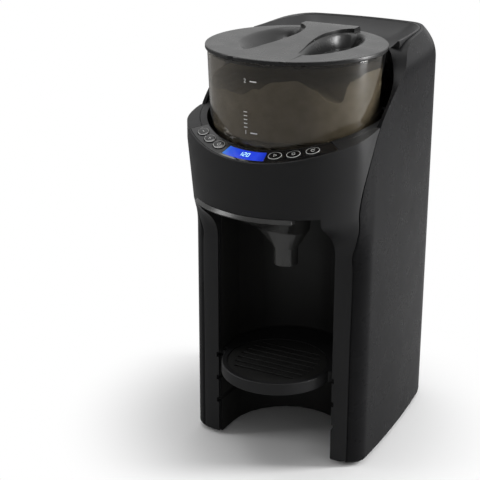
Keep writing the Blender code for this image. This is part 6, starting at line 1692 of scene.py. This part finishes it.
def slotted_disc_tree():
    """A disc with a row of slots, each as long as a share of the chord there."""
    tree, given, out = new_shape_tree("slotted_disc", {
        "Radius": "Float", "Thickness": "Float", "Slots": "Int", "Pitch": "Float", "Width": "Float",
        "Share": "Float", "Look": "Material"})
    disc = add_node(tree, "GeometryNodeMeshCylinder", {
        "Vertices": 144, "Radius": given["Radius"], "Depth": given["Thickness"]})
    less = add_node(tree, "ShaderNodeMath", {0: given["Slots"], 1: 1.0}, operation="SUBTRACT")
    reach = add_node(tree, "ShaderNodeMath", {
        0: less.outputs[0], 1: given["Pitch"]}, operation="MULTIPLY")
    first = add_node(tree, "ShaderNodeMath", {0: reach.outputs[0], 1: -0.5}, operation="MULTIPLY")
    start = add_node(tree, "ShaderNodeCombineXYZ", {"Y": first.outputs[0]})
    step = add_node(tree, "ShaderNodeCombineXYZ", {"Y": given["Pitch"]})
    row = add_node(tree, "GeometryNodeMeshLine", {
        "Count": given["Slots"], "Start Location": start.outputs[0], "Offset": step.outputs[0]})
    place = add_node(tree, "GeometryNodeInputPosition")
    parts = add_node(tree, "ShaderNodeSeparateXYZ", {0: place.outputs[0]})
    side = add_node(tree, "ShaderNodeMath", {0: parts.outputs["Y"], 1: 2.0}, operation="POWER")
    square = add_node(tree, "ShaderNodeMath", {0: given["Radius"], 1: 2.0}, operation="POWER")
    rest = add_node(tree, "ShaderNodeMath", {
        0: square.outputs[0], 1: side.outputs[0]}, operation="SUBTRACT")
    chord = add_node(tree, "ShaderNodeMath", {0: rest.outputs[0]}, operation="SQRT")
    long = add_node(tree, "ShaderNodeMath", {
        0: chord.outputs[0], 1: given["Share"]}, operation="MULTIPLY")
    double = add_node(tree, "ShaderNodeMath", {0: long.outputs[0], 1: 2.0}, operation="MULTIPLY")
    size = add_node(tree, "ShaderNodeCombineXYZ", {
        "X": double.outputs[0], "Y": given["Width"], "Z": OVERRUN * 2.0})
    box = add_node(tree, "GeometryNodeMeshCube", {"Size": (1.0, 1.0, 1.0)})
    slots = add_node(tree, "GeometryNodeInstanceOnPoints", {
        "Points": row.outputs[0], "Instance": box.outputs["Mesh"], "Scale": size.outputs[0]})
    real = add_node(tree, "GeometryNodeRealizeInstances", {0: slots.outputs[0]})
    cut = add_node(tree, "GeometryNodeMeshBoolean", operation="DIFFERENCE", solver="EXACT")
    tree.links.new(disc.outputs["Mesh"], cut.inputs["Mesh 1"])
    tree.links.new(real.outputs[0], cut.inputs["Mesh 2"])
    end_tree(tree, out, cut.outputs["Mesh"], given["Look"])
    return tree


place_on(shade(stand_moulding()), "bottle_stand", charcoal_abs)
drip_plate = grow("stand_plate_moulding", slotted_disc_tree(), {
    "Radius": DRIP_PLATE_R, "Thickness": DRIP_PLATE_THICK, "Slots": 7, "Pitch": 8.5 * MM,
    "Width": 3.0 * MM, "Share": 0.8, "Look": liner_abs})
plate_middle = STAND_TOP - DRIP_PLATE_SINK - DRIP_PLATE_THICK / 2.0
drip_plate.data.transform(Matrix.Translation((0.0, STAND_Y, plate_middle)))
place_on(shade(drip_plate), "stand_plate", liner_abs)
print("stand and drip plate made")

# %% [markdown]
# The tank's lid lies between the rim and the jar. It is one smooth dish that the hand can sweep
# clean: rings of the body's own plan, each farther in and lower along a curve, cut out of a block.

# %% Tank lid
TANK_LID_TOP = BODY_TOP - 0.6 * MM
DISH_IN = 26.0 * MM
DISH_LOW = BODY_TOP - 14.0 * MM
DISH_HIGH = BODY_TOP - 1.0 * MM
DISH_START = RIM_IN + 2.2 * MM
DISH_POWER = 2.2
DISH_STEPS = 14


def tank_lid_moulding():
    """Lid with a dished top, open towards the jar's well."""
    lid = tank_opening("tank_lid_moulding", CLEAR, TANK_OPEN_Z + CLEAR, TANK_LID_TOP)
    well_low = TANK_OPEN_Z - OVERRUN
    combine(lid, rod("lid_well", JAR_AXIS, WELL_R + CLEAR, well_low, BODY_TOP, TURN_STEPS))
    rings = []
    for step in range(DISH_STEPS, -1, -1):
        share = step / DISH_STEPS
        z = DISH_LOW + (DISH_HIGH - DISH_LOW) * (1.0 - share) ** DISH_POWER
        rings.append(skin_ring(NOSE_START_Z, DISH_START + DISH_IN * share, z))
    rings.append(skin_ring(NOSE_START_Z, DISH_START, BODY_TOP + OVERRUN))
    return combine(lid, loft("dish", rings))


place_on(shade(tank_lid_moulding(), 26.0), "tank_lid", satin_abs)
print("tank lid made in", DISH_STEPS, "steps")

# %% [markdown]
# The feet are moulded rubber plugs with a rounded lower edge, turned from a profile.

# %% Feet
FOOT_PROFILE = ((0.0, 0.0), (4.6, 0.0), (5.1, 0.25), (5.3, 0.8), (5.7, 2.3), (0.0, 2.3))
FEET = {"front_left": (-66.2, -44.0), "front_right": (66.2, -44.0), "rear_left": (-56.0, 96.0),
        "rear_right": (56.0, 96.0)}
for corner, (x, y) in FEET.items():
    profile = [(radius * MM, z * MM) for radius, z in FOOT_PROFILE]
    foot = turned("foot_%s_moulding" % corner, profile, (x * MM, y * MM), 40)
    place_on(shade(foot), "foot_" + corner, foot_rubber)
print(len(FEET), "feet made")

# %% [markdown]
# What is left are the plain pieces and the works inside. Each gets its own finish on a merged
# copy of its node.

# %% The other pieces
COPIES = {
    "alcove_liner": liner_abs, "water_tank": tank_san,
    "nose_floor": liner_abs, "base_plate": liner_abs,
    "display_module": liner_abs, "control_board": board_resist, "main_board": board_resist,
    "powder_chute": nylon, "motor_bracket": cast_aluminium, "drive_motor": plated_steel,
    "motor_pinion": plated_steel, "drive_gear": nylon, "drive_shaft": plated_steel,
    "scraper_plate": nylon, "dosing_wheel": nylon, "stirrer": nylon, "valve_plunger": seal_silicone,
    "tank_bay": liner_abs, "water_pump": liner_abs, "heater_block": cast_aluminium,
    "water_nozzle": nylon, "supply_hose": hose_silicone, "feed_hose": hose_silicone,
    "hot_hose": hose_silicone, "power_inlet": liner_abs,
}
for node, look in COPIES.items():
    smooth_copy(node, node + "_moulded", look)
print(len(COPIES), "nodes dressed")
